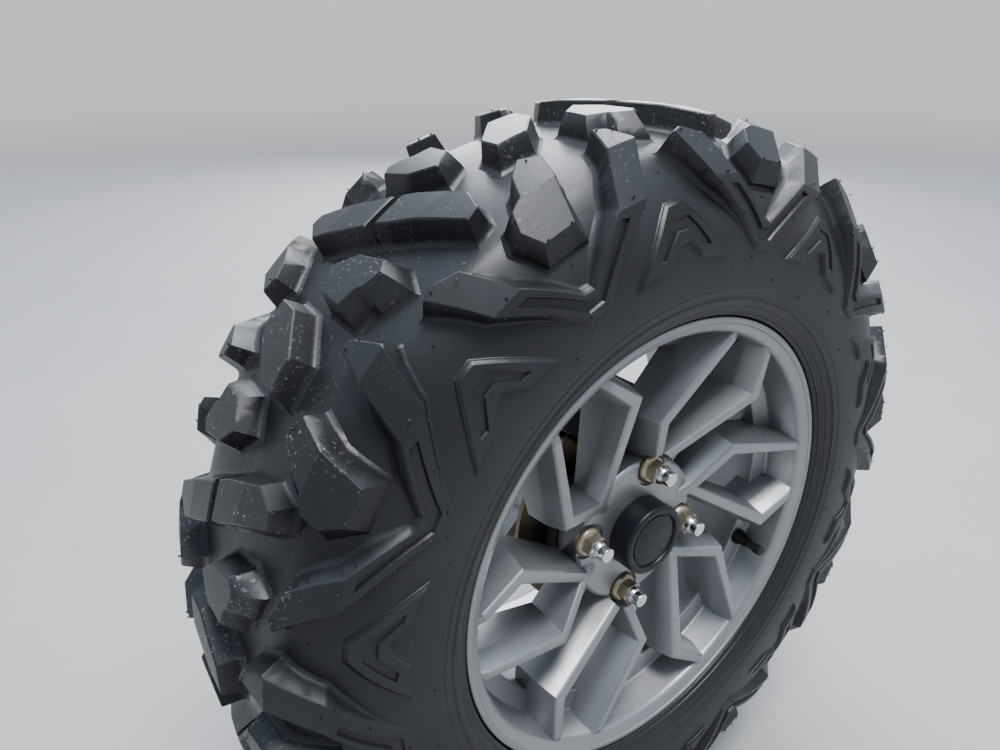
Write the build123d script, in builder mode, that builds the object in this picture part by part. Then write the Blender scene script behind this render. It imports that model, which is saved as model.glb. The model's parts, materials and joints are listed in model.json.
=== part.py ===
from build123d import *
import os
from math import atan2, cos, degrees, hypot, radians, sin

# Off-road wheel of a side-by-side utility vehicle, with the hub, brake and bearing
# carrier that hold it. Millimetres. X is along the vehicle, Y is the spin axis, with the
# wheel's outer face towards -Y, and Z is up. Places below are measured from the wheel's
# centre. The stored part's origin is the middle of the carrier's mounting face, further
# along the spin axis, and finish() moves each piece there.

# Rim
RIM_WIDTH = 192.0            # lip to lip
LIP_H = 12.2                 # lips above the bead seats
LIP_BAND = 9.0               # flat bright band on the outer lip
LIP_T = 7.0
BEAD_R = 177.8
BEAD_SEAT = 24.0
RIM_WALL = 5.0
WELL_DROP = 15.8             # drop centre below the bead seats
WELL_STEP_Y = -62.0          # outboard wall of the drop centre
WELL_BACK_Y = 22.0
MOUNT_FACE_Y = -38.0         # where the rim seats on the hub
HUB_FACE_Y = -63.0           # the face round the centre cap
RIM_HUB_R = 64.0
SPOKE_BACK_Y = -44.0
SPOKE_PAIRS = 6
SPOKE_FIRST = 2.4            # degrees above X of the first pair's middle

# Bolt circle
STUDS = 4
STUD_CIRCLE_R = 55.0
STUD_FIRST = 78.5
STUD_R = 5.0
NUT_POCKET_R = 15.5
NUT_SEAT_Y = -60.0
NUT_END_Y = -85.7
NUT_BASE_R = 12.2
NUT_AF = 17.0
NUT_TIP_R = 5.8
NUT_BASE_T = 4.5
NUT_BASE_ROUND = 3.5
NUT_HEX_T = 17.5
NUT_CHAMFER = 2.2
NUT_TIP_ROUND = 0.8
NUT_TIP_WALL = 5.0
STUD_HEAD_R = 8.0
STUD_HEAD_T = 4.0
STUD_GAP = 1.0               # from the stud's end to the closed end of its nut

# Centre cap
CAP_R = 30.5
CAP_FRONT_Y = -83.5
CAP_WALL = 2.5
CAP_BORE_R = 29.6
CAP_ROUND = 2.0
CAP_SKIRT = 14.0
CAP_GROOVE_IN = 6.5          # from the cap's edge in to its ring groove
CAP_GROOVE_W = 1.5
CAP_GROOVE_DEPTH = 0.8

# Tyre
CARCASS_R = 311.0
TYRE_HALF = 108.5            # half width of the casing at its widest
TYRE_WALL = 9.0
TYRE_SIDES = 25              # flat sides round the casing
LIP_GAP = 0.6
LUG_H = 17.0                 # lug tips above the crown of the casing
RIB_H = 1.5                  # ribs above the widest line of the casing
PITCHES = 10                 # tread units round each side
TREAD_FIRST = 114.6          # degrees above X of one V of the outer side
LUG_DRAFT = 2.6

# Hub, disc and axle
HUB_FLANGE_R = 66.0
HUB_FLANGE_T = 10.0
DISC_SEAT_R = 52.0
DISC_SEAT_T = 8.0
HUB_PILOT_L = 6.0
DISC_R = 90.0
DISC_BORE_R = 30.0
DISC_T = 4.0
DISC_BOLT_CIRCLE_R = 44.0
DISC_BOLT_R = 4.0
HUB_SHOULDER_R = 27.0
AXLE_R = 14.0
AXLE_THREAD_R = 10.0
AXLE_END_Y = -68.0
AXLE_WASHER_R = 19.0
AXLE_WASHER_T = 3.0
AXLE_NUT_AF = 30.0
AXLE_NUT_T = 14.0
DISC_BOLT_AF = 13.0
DISC_BOLT_HEAD_T = 5.5
DISC_BOLT_GRIP = 4.0
NECK_R = 24.0
NECK_L = 6.0
CUP_CONE_L = 14.0
CUP_R = 38.0
CUP_BORE_R = 31.0
CUP_END_Y = 108.0
CUP_DEPTH = 42.0

# Bearing and carrier
BEARING_BORE_R = 20.0
BEARING_R = 37.0
BEARING_W = 44.0
RACE_R = 25.0
RUN_CLEARANCE = 0.05
CARRIER_R = 47.0
CARRIER_LIP = 4.0
CARRIER_LIP_R = 33.0
CLIP_T = 2.0
CLIP_REACH = 2.0             # how far the clip goes into its groove
CLIP_IN = 3.0                # how far it covers the bearing
CLIP_MOUTH = 12.0
CLIP_SEAT_WALL = 4.0         # from the clip to the mounting face
FLANGE_BOLTS = 4
FLANGE_BOLT_CIRCLE_R = 66.0
FLANGE_BOLT_R = 6.0
FLANGE_FIRST = 45.0
FLANGE_LOBE_R = 15.0
FLANGE_T = 14.0
FLANGE_RIB_T = 10.0
FLANGE_RIB_Y = 8.0
EAR_X = 36.0
EAR_Z = 88.0
EAR_R = 11.0
EAR_T = 12.0
EAR_BOLT_R = 5.0
EAR_ROOT = ((34.0, 26.0), (8.0, 40.0))

# Brake caliper
CALIPER_HALF = 40.0
CALIPER_TOP_Z = 110.0
DISC_CLEARANCE = 5.0
PAD_T = 6.0
PAD_GAP = 0.4
FINGER_T = 10.5
HOUSING_R = 18.0
HOUSING_L = 20.0
CALIPER_BOLT_GRIP = 9.0
HEAD_HALF = 20.0             # flat head on the housing, which takes the brake line
HEAD_Y = 14.0
HEAD_T = 18.0
PORT_X = -9.0
PORT_R = 5.0
PORT_DEPTH = 12.0
BLEED_X = 10.0
BLEED_R = 3.0
BLEED_AF = 8.0
CALIPER_BOLT_AF = 16.0
CALIPER_BOLT_HEAD_T = 7.0
PAD_CORNER = 4.0

# Valve
VALVE_ANGLE = -26.0
VALVE_L = 30.0
VALVE_HOLE_R = 5.7
VALVE_COLLAR_R = 7.6
VALVE_COLLAR_T = 2.5
VALVE_BODY_R = 6.2
VALVE_BODY_L = 12.0
VALVE_TAPER = 8.0
VALVE_TUBE_R = 3.6
VALVE_ROOT = 10.0
VALVE_CAP_R = 4.6
VALVE_CAP_L = 8.0
VALVE_CAP_GRIP = 6.0

os.makedirs("parts", exist_ok=True)

lip_y = -RIM_WIDTH / 2
bead_y = lip_y + LIP_T
lip_r = BEAD_R + LIP_H
well_r = BEAD_R - WELL_DROP
well_in_r = well_r - RIM_WALL
seat_in_r = BEAD_R - RIM_WALL
hub_back_y = MOUNT_FACE_Y + HUB_FLANGE_T
disc_out_y = hub_back_y + DISC_SEAT_T
disc_in_y = disc_out_y + DISC_T
bearing_in_y = BEARING_W
mounting_y = BEARING_W + CLIP_T + CLIP_SEAT_WALL
tip_r = CARCASS_R + LUG_H
side_half = TYRE_HALF + RIB_H


def turned(shape, angle):
    """A copy turned counter-clockwise, as seen from the outer side."""
    return shape.rotate(Axis.Y, -angle)


def finish(part, label):
    """Write one piece, with its place measured from the carrier's mounting face."""
    placed = part.moved(Location((0, -mounting_y, 0)))
    placed.label = label
    export_step(placed, f"parts/{label}.step")


def spoke_point(radius, angle):
    """X and Z at a radius and an angle above X."""
    return radius * cos(radians(angle)), radius * sin(radians(angle))


# Rim: barrel. The inner contour runs from the outer lip to the inner lip.
inner_contour = (
    (lip_r - LIP_BAND, lip_y),
    (lip_r - LIP_BAND - 2.5, lip_y + 3),
    (BEAD_R - 1.3, lip_y + 5),
    (seat_in_r, WELL_STEP_Y),
    (well_in_r, WELL_STEP_Y + 3.5),
    (well_in_r, WELL_BACK_Y),
    (seat_in_r, WELL_BACK_Y + 16),
    (seat_in_r + 1, -lip_y - 9),
    (lip_r - LIP_BAND, -lip_y),
)
with BuildPart() as barrel:
    with BuildSketch(Plane.XY):
        with BuildLine():
            Polyline(
                *inner_contour,
                (lip_r, -lip_y),
                (lip_r, -bead_y),
                (BEAD_R, -bead_y),
                (BEAD_R, WELL_BACK_Y + 18),
                (well_r, WELL_BACK_Y),
                (well_r, WELL_STEP_Y + 9),
                (BEAD_R, WELL_STEP_Y + 2),
                (BEAD_R, bead_y),
                (lip_r, bead_y),
                (lip_r, lip_y),
                close=True,
            )
        make_face()
    revolve(axis=Axis.Y)

# The room inside the barrel
with BuildPart() as barrel_room:
    with BuildSketch(Plane.XY):
        with BuildLine():
            Polyline(
                (0, lip_y),
                *inner_contour,
                (0, -lip_y),
                close=True,
            )
        make_face()
    revolve(axis=Axis.Y)

# Spoke legs. Columns: across, up, Y of the ridge, width of the ridge.
# Across and up are measured in the wheel's face from the pair's middle line.
SPOKE_LEGS = (
    ((-16.0, 59.0, -68.0, 8.0), (-48.5, 93.0, -82.0, 9.0), (-24.5, 178.0, -94.0, 7.5)),
    ((-16.0, 59.0, -68.0, 8.0), (40.0, 137.0, -89.0, 12.0), (23.5, 178.0, -94.0, 8.0)),
)
BEVEL = 2.2
SPOKE_DRAFT = 4.0


def spoke_section(point, along, stretch):
    """Section of a leg at one ridge point, square to the direction along the leg."""
    across, up, ridge_y, width = point
    plane = Plane(
        origin=(across, ridge_y, up),
        x_dir=(along[1], 0, -along[0]),
        z_dir=(along[0], 0, along[1]),
    )
    half = width / 2 * stretch
    depth = SPOKE_BACK_Y - ridge_y
    down = 1 if plane.y_dir.Y > 0 else -1
    edge = half + BEVEL * stretch
    foot = edge + SPOKE_DRAFT
    with BuildSketch(plane) as section:
        with BuildLine():
            Polyline(
                (-half, 0),
                (half, 0),
                (edge, BEVEL * down),
                (foot, depth * down),
                (-foot, depth * down),
                (-edge, BEVEL * down),
                close=True,
            )
        make_face()
    return section.sketch


def leg_sections(points):
    """Mitred sections of a leg through its ridge points."""
    sections = []
    runs = []
    for a, b in zip(points, points[1:]):
        length = hypot(b[0] - a[0], b[1] - a[1])
        runs.append(((b[0] - a[0]) / length, (b[1] - a[1]) / length))
    for i, point in enumerate(points):
        before = runs[max(i - 1, 0)]
        after = runs[min(i, len(runs) - 1)]
        total = (before[0] + after[0], before[1] + after[1])
        length = hypot(*total)
        along = (total[0] / length, total[1] / length)
        stretch = 1 / (along[0] * before[0] + along[1] * before[1])
        sections.append(spoke_section(point, along, stretch))
    return sections


with BuildPart() as spoke_pair:
    for points in SPOKE_LEGS:
        loft(leg_sections(points), ruled=True)

# Where the valve's rubber stem goes through the outboard wall of the drop centre
valve_turn = VALVE_ANGLE - 90
wall_tilt = degrees(atan2(3.5, seat_in_r - well_in_r))
valve_base = ((seat_in_r + well_in_r) / 2, WELL_STEP_Y + 1.75 - 0.1)
valve_plane = Plane(
    origin=(0, valve_base[1], valve_base[0]),
    x_dir=(1, 0, 0),
    z_dir=(0, -cos(radians(wall_tilt)), -sin(radians(wall_tilt))),
)
with BuildPart() as valve_hole:
    with BuildSketch(valve_plane.offset(2)):
        Circle(VALVE_HOLE_R)
    extrude(amount=-14)

with BuildPart() as rim:
    add(barrel.part)
    add(turned(valve_hole.part, valve_turn), mode=Mode.SUBTRACT)
finish(rim.part, "rim")

# Spoked centre, with its bores and nut pockets, welded into the barrel
HUB_EDGE = 4.0
CAP_PLAY = 0.4
STUD_PLAY = 1.0
with BuildPart() as wheel_centre:
    with BuildSketch(Plane.XY):
        with BuildLine():
            Polyline(
                (0, HUB_FACE_Y),
                (RIM_HUB_R - HUB_EDGE, HUB_FACE_Y),
                (RIM_HUB_R, HUB_FACE_Y + HUB_EDGE),
                (RIM_HUB_R, MOUNT_FACE_Y),
                (0, MOUNT_FACE_Y),
                close=True,
            )
        make_face()
    revolve(axis=Axis.Y)
    middle = SPOKE_FIRST - 90
    step = 360 / SPOKE_PAIRS
    add([turned(spoke_pair.part, middle + step * k) for k in range(SPOKE_PAIRS)])
    add(barrel_room.part, mode=Mode.INTERSECT)
    with BuildSketch(Plane.XZ.offset(-MOUNT_FACE_Y)):
        Circle(CAP_BORE_R + CAP_PLAY)
        with PolarLocations(STUD_CIRCLE_R, STUDS, start_angle=STUD_FIRST):
            Circle(STUD_R + STUD_PLAY)
    extrude(amount=RIM_WIDTH, mode=Mode.SUBTRACT)
    with BuildSketch(Plane.XZ.offset(-NUT_SEAT_Y)):
        with PolarLocations(STUD_CIRCLE_R, STUDS, start_angle=STUD_FIRST):
            Circle(NUT_POCKET_R)
    extrude(amount=RIM_WIDTH, mode=Mode.SUBTRACT)
finish(wheel_centre.part, "wheel_centre")

# Tyre: casing, with flat sides round it. Columns of both outlines: radius at a corner between
# two sides, Y in from the casing's widest line. The bead and lip radii hold at mid-side.
side_angle = 360 / TYRE_SIDES
half_side = radians(side_angle / 2)
corner = 1 / cos(half_side)
wall_h = CARCASS_R - lip_r
casing_out = (
    (BEAD_R * corner, bead_y + TYRE_HALF),
    ((lip_r + LIP_GAP) * corner, bead_y + TYRE_HALF),
    (lip_r + wall_h * 0.19, 1.5),
    (lip_r + wall_h * 0.504, 1.5),
    (lip_r + wall_h * 0.736, 13),
    (lip_r + wall_h * 0.917, 32),
    (CARCASS_R, 72),
)
casing_in = (
    (BEAD_R * corner, bead_y + TYRE_HALF + BEAD_SEAT - 8),
    (lip_r + wall_h * 0.223, TYRE_WALL + 3),
    (lip_r + wall_h * 0.587, TYRE_WALL + 5),
    (CARCASS_R - TYRE_WALL - 3, 55),
)
with BuildPart() as casing_side:
    with BuildSketch(Plane.XY):
        with BuildLine():
            Polyline(
                *[(r / corner, inset - TYRE_HALF) for r, inset in casing_out],
                *[(r / corner, TYRE_HALF - inset) for r, inset in reversed(casing_out)],
                *[(r / corner, TYRE_HALF - inset) for r, inset in casing_in],
                *[(r / corner, inset - TYRE_HALF) for r, inset in reversed(casing_in)],
                close=True,
            )
        make_face()
    extrude(amount=CARCASS_R, both=True)
    for end in (-1, 1):
        side_end = Plane(origin=(0, 0, 0), z_dir=(sin(half_side), 0, end * cos(half_side)))
        split(bisect_by=side_end, keep=Keep.TOP)

# Outline over the lugs' tips. Columns: radius below the tips, Y in from the side, tilt of
# the outward direction from radial, height down into the casing.
TREAD_OUTLINE = (
    (83.0, 0.0, 92.0, 7.0),
    (53.0, 1.5, 78.0, 16.0),
    (30.0, 8.0, 60.0, 21.0),
    (12.0, 22.0, 34.0, 24.0),
    (4.0, 44.0, 10.0, 23.0),
    (0.0, side_half, 0.0, 22.0),
)
tread_arc = sum(hypot(b[0] - a[0], b[1] - a[1]) for a, b in zip(TREAD_OUTLINE, TREAD_OUTLINE[1:]))

# Lugs of one unit on the outer side, as lofts over the shoulder. Columns: arc along the
# outline from the side's widest line, first and last degree from the middle of the V.
# The far side is the same unit turned end for end, so lugs that reach the middle go on.
V_LEFT = ((0, -2.9, 0.2), (17, -6.2, 0.2), (46, -12.2, -7.8), (83, -15.2, -11.2))
V_RIGHT = ((0, -0.2, 3.0), (17, -0.2, 6.0), (46, 7.6, 12.2), (104, 12.0, 14.6))
SHOULDER = ((55, -2.5, 1.9), (84, -2.9, 3.5), (112, 2.0, 5.0))
CROWN_LONG = ((99, -6.9, -3.6), (tread_arc, -11.2, -6.8))
CROWN_SIDE = ((118, -17.6, -14.2), (157, -20.7, -16.7))
CROWN_MID = ((144, 5.6, 8.6), (tread_arc, 6.4, 11.6))
TREAD_UNIT = (V_LEFT, V_RIGHT, SHOULDER, CROWN_LONG, CROWN_SIDE, CROWN_MID)


def tread_place(arc):
    """Radius, Y, tilt and lug height at one arc length along the outline."""
    for a, b in zip(TREAD_OUTLINE, TREAD_OUTLINE[1:]):
        run = hypot(b[0] - a[0], b[1] - a[1])
        if arc <= run:
            break
        arc -= run
    share = min(arc / run, 1)
    drop, inset, tilt, height = [p + (q - p) * share for p, q in zip(a, b)]
    return tip_r - drop, inset - side_half, tilt, height


def lug_corners(row):
    """Four corners across a lug, at right angles to the way over the shoulder."""
    arc, first, last = row
    radius, y, tilt, height = tread_place(arc)
    middle = radians(90 - (first + last) / 2)
    half_angle = radians((last - first) / 2)
    radial = Vector(cos(middle), 0, sin(middle))
    away = radial * cos(radians(tilt)) - Vector(0, 1, 0) * sin(radians(tilt))
    across = Vector(sin(middle), 0, -cos(middle))
    top = radial * (radius * cos(half_angle)) + Vector(0, y, 0)
    half = radius * sin(half_angle)
    foot = top - away * height
    spread = half + LUG_DRAFT
    return [top - across * half, top + across * half, foot + across * spread, foot - across * spread]


def lug(rows):
    """A lug with flat facets through the corners at its rows."""
    rings = [lug_corners(row) for row in rows]
    facets = [(rings[0][0], rings[0][2], rings[0][1]), (rings[0][0], rings[0][3], rings[0][2])]
    facets += [(rings[-1][0], rings[-1][1], rings[-1][2]), (rings[-1][0], rings[-1][2], rings[-1][3])]
    for ring, further in zip(rings, rings[1:]):
        for i in range(len(ring)):
            j = (i + 1) % len(ring)
            facets.append((ring[i], ring[j], further[j]))
            facets.append((ring[i], further[j], further[i]))
    faces = [Face(Wire.make_polygon(corners)) for corners in facets]
    return Solid(Shell(faces)).fix()


with BuildPart() as tread_unit:
    for rows in TREAD_UNIT:
        add(lug(rows))

with BuildPart() as tyre:
    add([turned(casing_side.part, side_angle * k) for k in range(TYRE_SIDES)])
    pitch = 360 / PITCHES
    first_turn = TREAD_FIRST - 90
    far_unit = tread_unit.part.rotate(Axis.Z, 180)
    add([turned(tread_unit.part, first_turn + pitch * k) for k in range(PITCHES)])
    add([turned(far_unit, first_turn + pitch * (k + 0.5)) for k in range(PITCHES)])
finish(tyre.part, "tyre")

# Centre cap: a cup with a skirt that clips into the centre's bore
with BuildPart() as centre_cap:
    with BuildSketch(Plane.XZ.offset(-HUB_FACE_Y)):
        Circle(CAP_R)
    extrude(amount=HUB_FACE_Y - CAP_FRONT_Y)
    fillet(centre_cap.edges().filter_by(GeomType.CIRCLE).sort_by(Axis.Y)[0], CAP_ROUND)
    with BuildSketch(Plane.XZ.offset(-HUB_FACE_Y)):
        Circle(CAP_BORE_R)
    extrude(amount=-CAP_SKIRT)
    with BuildSketch(Plane.XZ.offset(-HUB_FACE_Y - CAP_SKIRT)):
        Circle(CAP_BORE_R - CAP_WALL)
    extrude(amount=HUB_FACE_Y + CAP_SKIRT - CAP_FRONT_Y - CAP_WALL, mode=Mode.SUBTRACT)
    with BuildSketch(Plane.XZ.offset(-CAP_FRONT_Y)):
        Circle(CAP_R - CAP_GROOVE_IN)
        Circle(CAP_R - CAP_GROOVE_IN - CAP_GROOVE_W, mode=Mode.SUBTRACT)
    extrude(amount=-CAP_GROOVE_DEPTH, mode=Mode.SUBTRACT)
finish(centre_cap.part, "centre_cap")

# Wheel studs and nuts
for k in range(STUDS):
    seat = spoke_point(STUD_CIRCLE_R, STUD_FIRST + 360 / STUDS * k)
    with BuildPart() as wheel_stud:
        with BuildSketch(Plane.XZ.offset(-hub_back_y)):
            with Locations(seat):
                Circle(STUD_R)
        extrude(amount=hub_back_y - NUT_END_Y - NUT_TIP_WALL - STUD_GAP)
        chamfer(wheel_stud.edges().group_by(Axis.Y)[0], NUT_TIP_ROUND)
        with BuildSketch(Plane.XZ.offset(-hub_back_y)):
            with Locations(seat):
                Circle(STUD_HEAD_R)
        extrude(amount=-STUD_HEAD_T)
    finish(wheel_stud.part, f"wheel_stud_{k + 1}")

    with BuildPart() as lug_nut:
        with BuildSketch(Plane.XZ.offset(-NUT_SEAT_Y)):
            with Locations(seat):
                Circle(NUT_BASE_R)
        extrude(amount=NUT_BASE_T)
        fillet(lug_nut.edges().group_by(Axis.Y)[0], NUT_BASE_ROUND)
        with BuildSketch(Plane.XZ.offset(-NUT_SEAT_Y + NUT_BASE_T / 2)):
            with Locations(seat):
                RegularPolygon(NUT_AF / 2, 6, major_radius=False)
        extrude(amount=NUT_HEX_T - NUT_BASE_T / 2)
        chamfer(lug_nut.faces().sort_by(Axis.Y)[0].edges(), NUT_CHAMFER)
        with BuildSketch(Plane.XZ.offset(-NUT_SEAT_Y)):
            with Locations(seat):
                Circle(NUT_TIP_R)
        extrude(amount=NUT_SEAT_Y - NUT_END_Y)
        fillet(lug_nut.edges().group_by(Axis.Y)[0], NUT_TIP_ROUND)
        with BuildSketch(Plane.XZ.offset(-NUT_SEAT_Y)):
            with Locations(seat):
                Circle(STUD_R)
        extrude(amount=NUT_SEAT_Y - NUT_END_Y - NUT_TIP_WALL, mode=Mode.SUBTRACT)
    finish(lug_nut.part, f"lug_nut_{k + 1}")

# Hub: stud flange, disc seat, shoulder and barrel in one turned piece
PILOT_IN = 4.0
DISC_PLAY = 0.2
SHOULDER_STEP = 2.0
STUD_HEAD_PLAY = 0.4
disc_bolt_first = STUD_FIRST + 180 / STUDS
pilot_y = MOUNT_FACE_Y - HUB_PILOT_L
with BuildPart() as hub:
    with BuildSketch(Plane.XY):
        with BuildLine():
            Polyline(
                (AXLE_R, pilot_y),
                (CAP_BORE_R - PILOT_IN, pilot_y),
                (CAP_BORE_R - PILOT_IN, MOUNT_FACE_Y),
                (HUB_FLANGE_R, MOUNT_FACE_Y),
                (HUB_FLANGE_R, hub_back_y),
                (DISC_SEAT_R, hub_back_y),
                (DISC_SEAT_R, disc_out_y),
                (DISC_BORE_R - DISC_PLAY, disc_out_y),
                (HUB_SHOULDER_R, disc_in_y),
                (HUB_SHOULDER_R - SHOULDER_STEP, 0),
                (BEARING_BORE_R, 0),
                (BEARING_BORE_R, bearing_in_y),
                (AXLE_R, bearing_in_y),
                close=True,
            )
        make_face()
    revolve(axis=Axis.Y)
    with BuildSketch(Plane.XZ.offset(-hub_back_y)):
        with PolarLocations(STUD_CIRCLE_R, STUDS, start_angle=STUD_FIRST):
            Circle(STUD_R)
    extrude(amount=HUB_FLANGE_T, mode=Mode.SUBTRACT)
    with BuildSketch(Plane.XZ.offset(-hub_back_y)):
        with PolarLocations(STUD_CIRCLE_R, STUDS, start_angle=STUD_FIRST):
            Circle(STUD_HEAD_R + STUD_HEAD_PLAY)
    extrude(amount=-DISC_SEAT_T, mode=Mode.SUBTRACT)
    with BuildSketch(Plane.XZ.offset(-disc_out_y)):
        with PolarLocations(DISC_BOLT_CIRCLE_R, STUDS, start_angle=disc_bolt_first):
            Circle(DISC_BOLT_R)
    extrude(amount=DISC_SEAT_T + DISC_BOLT_GRIP, mode=Mode.SUBTRACT)
finish(hub.part, "hub")

# Brake disc and its bolts
with BuildPart() as brake_disc:
    with BuildSketch(Plane.XZ.offset(-disc_out_y)):
        Circle(DISC_R)
        Circle(DISC_BORE_R, mode=Mode.SUBTRACT)
        with PolarLocations(DISC_BOLT_CIRCLE_R, STUDS, start_angle=disc_bolt_first):
            Circle(DISC_BOLT_R, mode=Mode.SUBTRACT)
    extrude(amount=-DISC_T)
finish(brake_disc.part, "brake_disc")

for k in range(STUDS):
    seat = spoke_point(DISC_BOLT_CIRCLE_R, disc_bolt_first + 360 / STUDS * k)
    with BuildPart() as disc_bolt:
        with BuildSketch(Plane.XZ.offset(-disc_in_y)):
            with Locations(seat):
                Circle(DISC_BOLT_R)
        extrude(amount=DISC_T + DISC_SEAT_T + DISC_BOLT_GRIP)
        with BuildSketch(Plane.XZ.offset(-disc_in_y)):
            with Locations(seat):
                RegularPolygon(DISC_BOLT_AF / 2, 6, major_radius=False)
        extrude(amount=-DISC_BOLT_HEAD_T)
    finish(disc_bolt.part, f"disc_bolt_{k + 1}")

# Stub axle with the outer cup of the half shaft's joint, which has a groove for its boot
AXLE_CHAMFER = 1.0
BOOT_GROOVE = (12.0, 5.0)    # its start and end, from the cup's end
BOOT_GROOVE_DEPTH = 2.0
neck_y = bearing_in_y + NECK_L
boot_start_y = CUP_END_Y - BOOT_GROOVE[0]
boot_end_y = CUP_END_Y - BOOT_GROOVE[1]
with BuildPart() as stub_axle:
    with BuildSketch(Plane.XY):
        with BuildLine():
            Polyline(
                (0, AXLE_END_Y),
                (AXLE_THREAD_R - AXLE_CHAMFER, AXLE_END_Y),
                (AXLE_THREAD_R, AXLE_END_Y + AXLE_CHAMFER),
                (AXLE_THREAD_R, pilot_y),
                (AXLE_R, pilot_y),
                (AXLE_R, bearing_in_y),
                (NECK_R, bearing_in_y),
                (NECK_R, neck_y),
                (CUP_R, neck_y + CUP_CONE_L),
                (CUP_R, boot_start_y),
                (CUP_R - BOOT_GROOVE_DEPTH, boot_start_y + 1),
                (CUP_R - BOOT_GROOVE_DEPTH, boot_end_y - 1),
                (CUP_R, boot_end_y),
                (CUP_R, CUP_END_Y),
                (CUP_BORE_R, CUP_END_Y),
                (CUP_BORE_R, CUP_END_Y - CUP_DEPTH),
                (0, CUP_END_Y - CUP_DEPTH),
                close=True,
            )
        make_face()
    revolve(axis=Axis.Y)
finish(stub_axle.part, "stub_axle")

with BuildPart() as axle_washer:
    with BuildSketch(Plane.XZ.offset(-pilot_y)):
        Circle(AXLE_WASHER_R)
        Circle(AXLE_THREAD_R, mode=Mode.SUBTRACT)
    extrude(amount=AXLE_WASHER_T)
finish(axle_washer.part, "axle_washer")

with BuildPart() as axle_nut:
    with BuildSketch(Plane.XZ.offset(AXLE_WASHER_T - pilot_y)):
        RegularPolygon(AXLE_NUT_AF / 2, 6, major_radius=False)
        Circle(AXLE_THREAD_R, mode=Mode.SUBTRACT)
    extrude(amount=AXLE_NUT_T)
finish(axle_nut.part, "axle_nut")

# Valve
with BuildPart() as valve_stem:
    with BuildSketch(valve_plane):
        Circle(VALVE_COLLAR_R)
    extrude(amount=VALVE_COLLAR_T)
    with BuildSketch(valve_plane.offset(VALVE_COLLAR_T)):
        Circle(VALVE_BODY_R)
    extrude(amount=VALVE_BODY_L, taper=VALVE_TAPER)
    with BuildSketch(valve_plane.offset(VALVE_BODY_L)):
        Circle(VALVE_TUBE_R)
    extrude(amount=VALVE_L - VALVE_CAP_GRIP - VALVE_BODY_L)
    with BuildSketch(valve_plane):
        Circle(VALVE_HOLE_R)
    extrude(amount=-VALVE_ROOT)
finish(turned(valve_stem.part, valve_turn), "valve_stem")

with BuildPart() as valve_cap:
    with BuildSketch(valve_plane.offset(VALVE_L - VALVE_CAP_GRIP)):
        Circle(VALVE_CAP_R)
    extrude(amount=VALVE_CAP_L)
    chamfer(valve_cap.faces().sort_by(Axis.Y)[0].edges(), NUT_TIP_ROUND)
finish(turned(valve_cap.part, valve_turn), "valve_cap")

# Bearing
with BuildPart() as bearing_inner_race:
    with BuildSketch(Plane.XZ):
        Circle(RACE_R)
        Circle(BEARING_BORE_R, mode=Mode.SUBTRACT)
    extrude(amount=-BEARING_W)
finish(bearing_inner_race.part, "bearing_inner_race")

with BuildPart() as wheel_bearing:
    with BuildSketch(Plane.XZ):
        Circle(BEARING_R)
        Circle(RACE_R + RUN_CLEARANCE, mode=Mode.SUBTRACT)
    extrude(amount=-BEARING_W)
finish(wheel_bearing.part, "wheel_bearing")

# Bearing carrier: a round housing with a four-lobed mounting flange, ribs behind its
# lobes and two ears for the brake caliper
caliper_in_y = CARRIER_LIP
flange_y = mounting_y - FLANGE_T
with BuildPart() as carrier_rib:
    with BuildSketch(Plane.XY):
        Polygon(
            (CARRIER_R - CARRIER_LIP, FLANGE_RIB_Y),
            (CARRIER_R, FLANGE_RIB_Y),
            (FLANGE_BOLT_CIRCLE_R - FLANGE_BOLT_R - 2, flange_y),
            (CARRIER_R - CARRIER_LIP, flange_y),
            align=None,
        )
    extrude(amount=FLANGE_RIB_T / 2, both=True)

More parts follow.
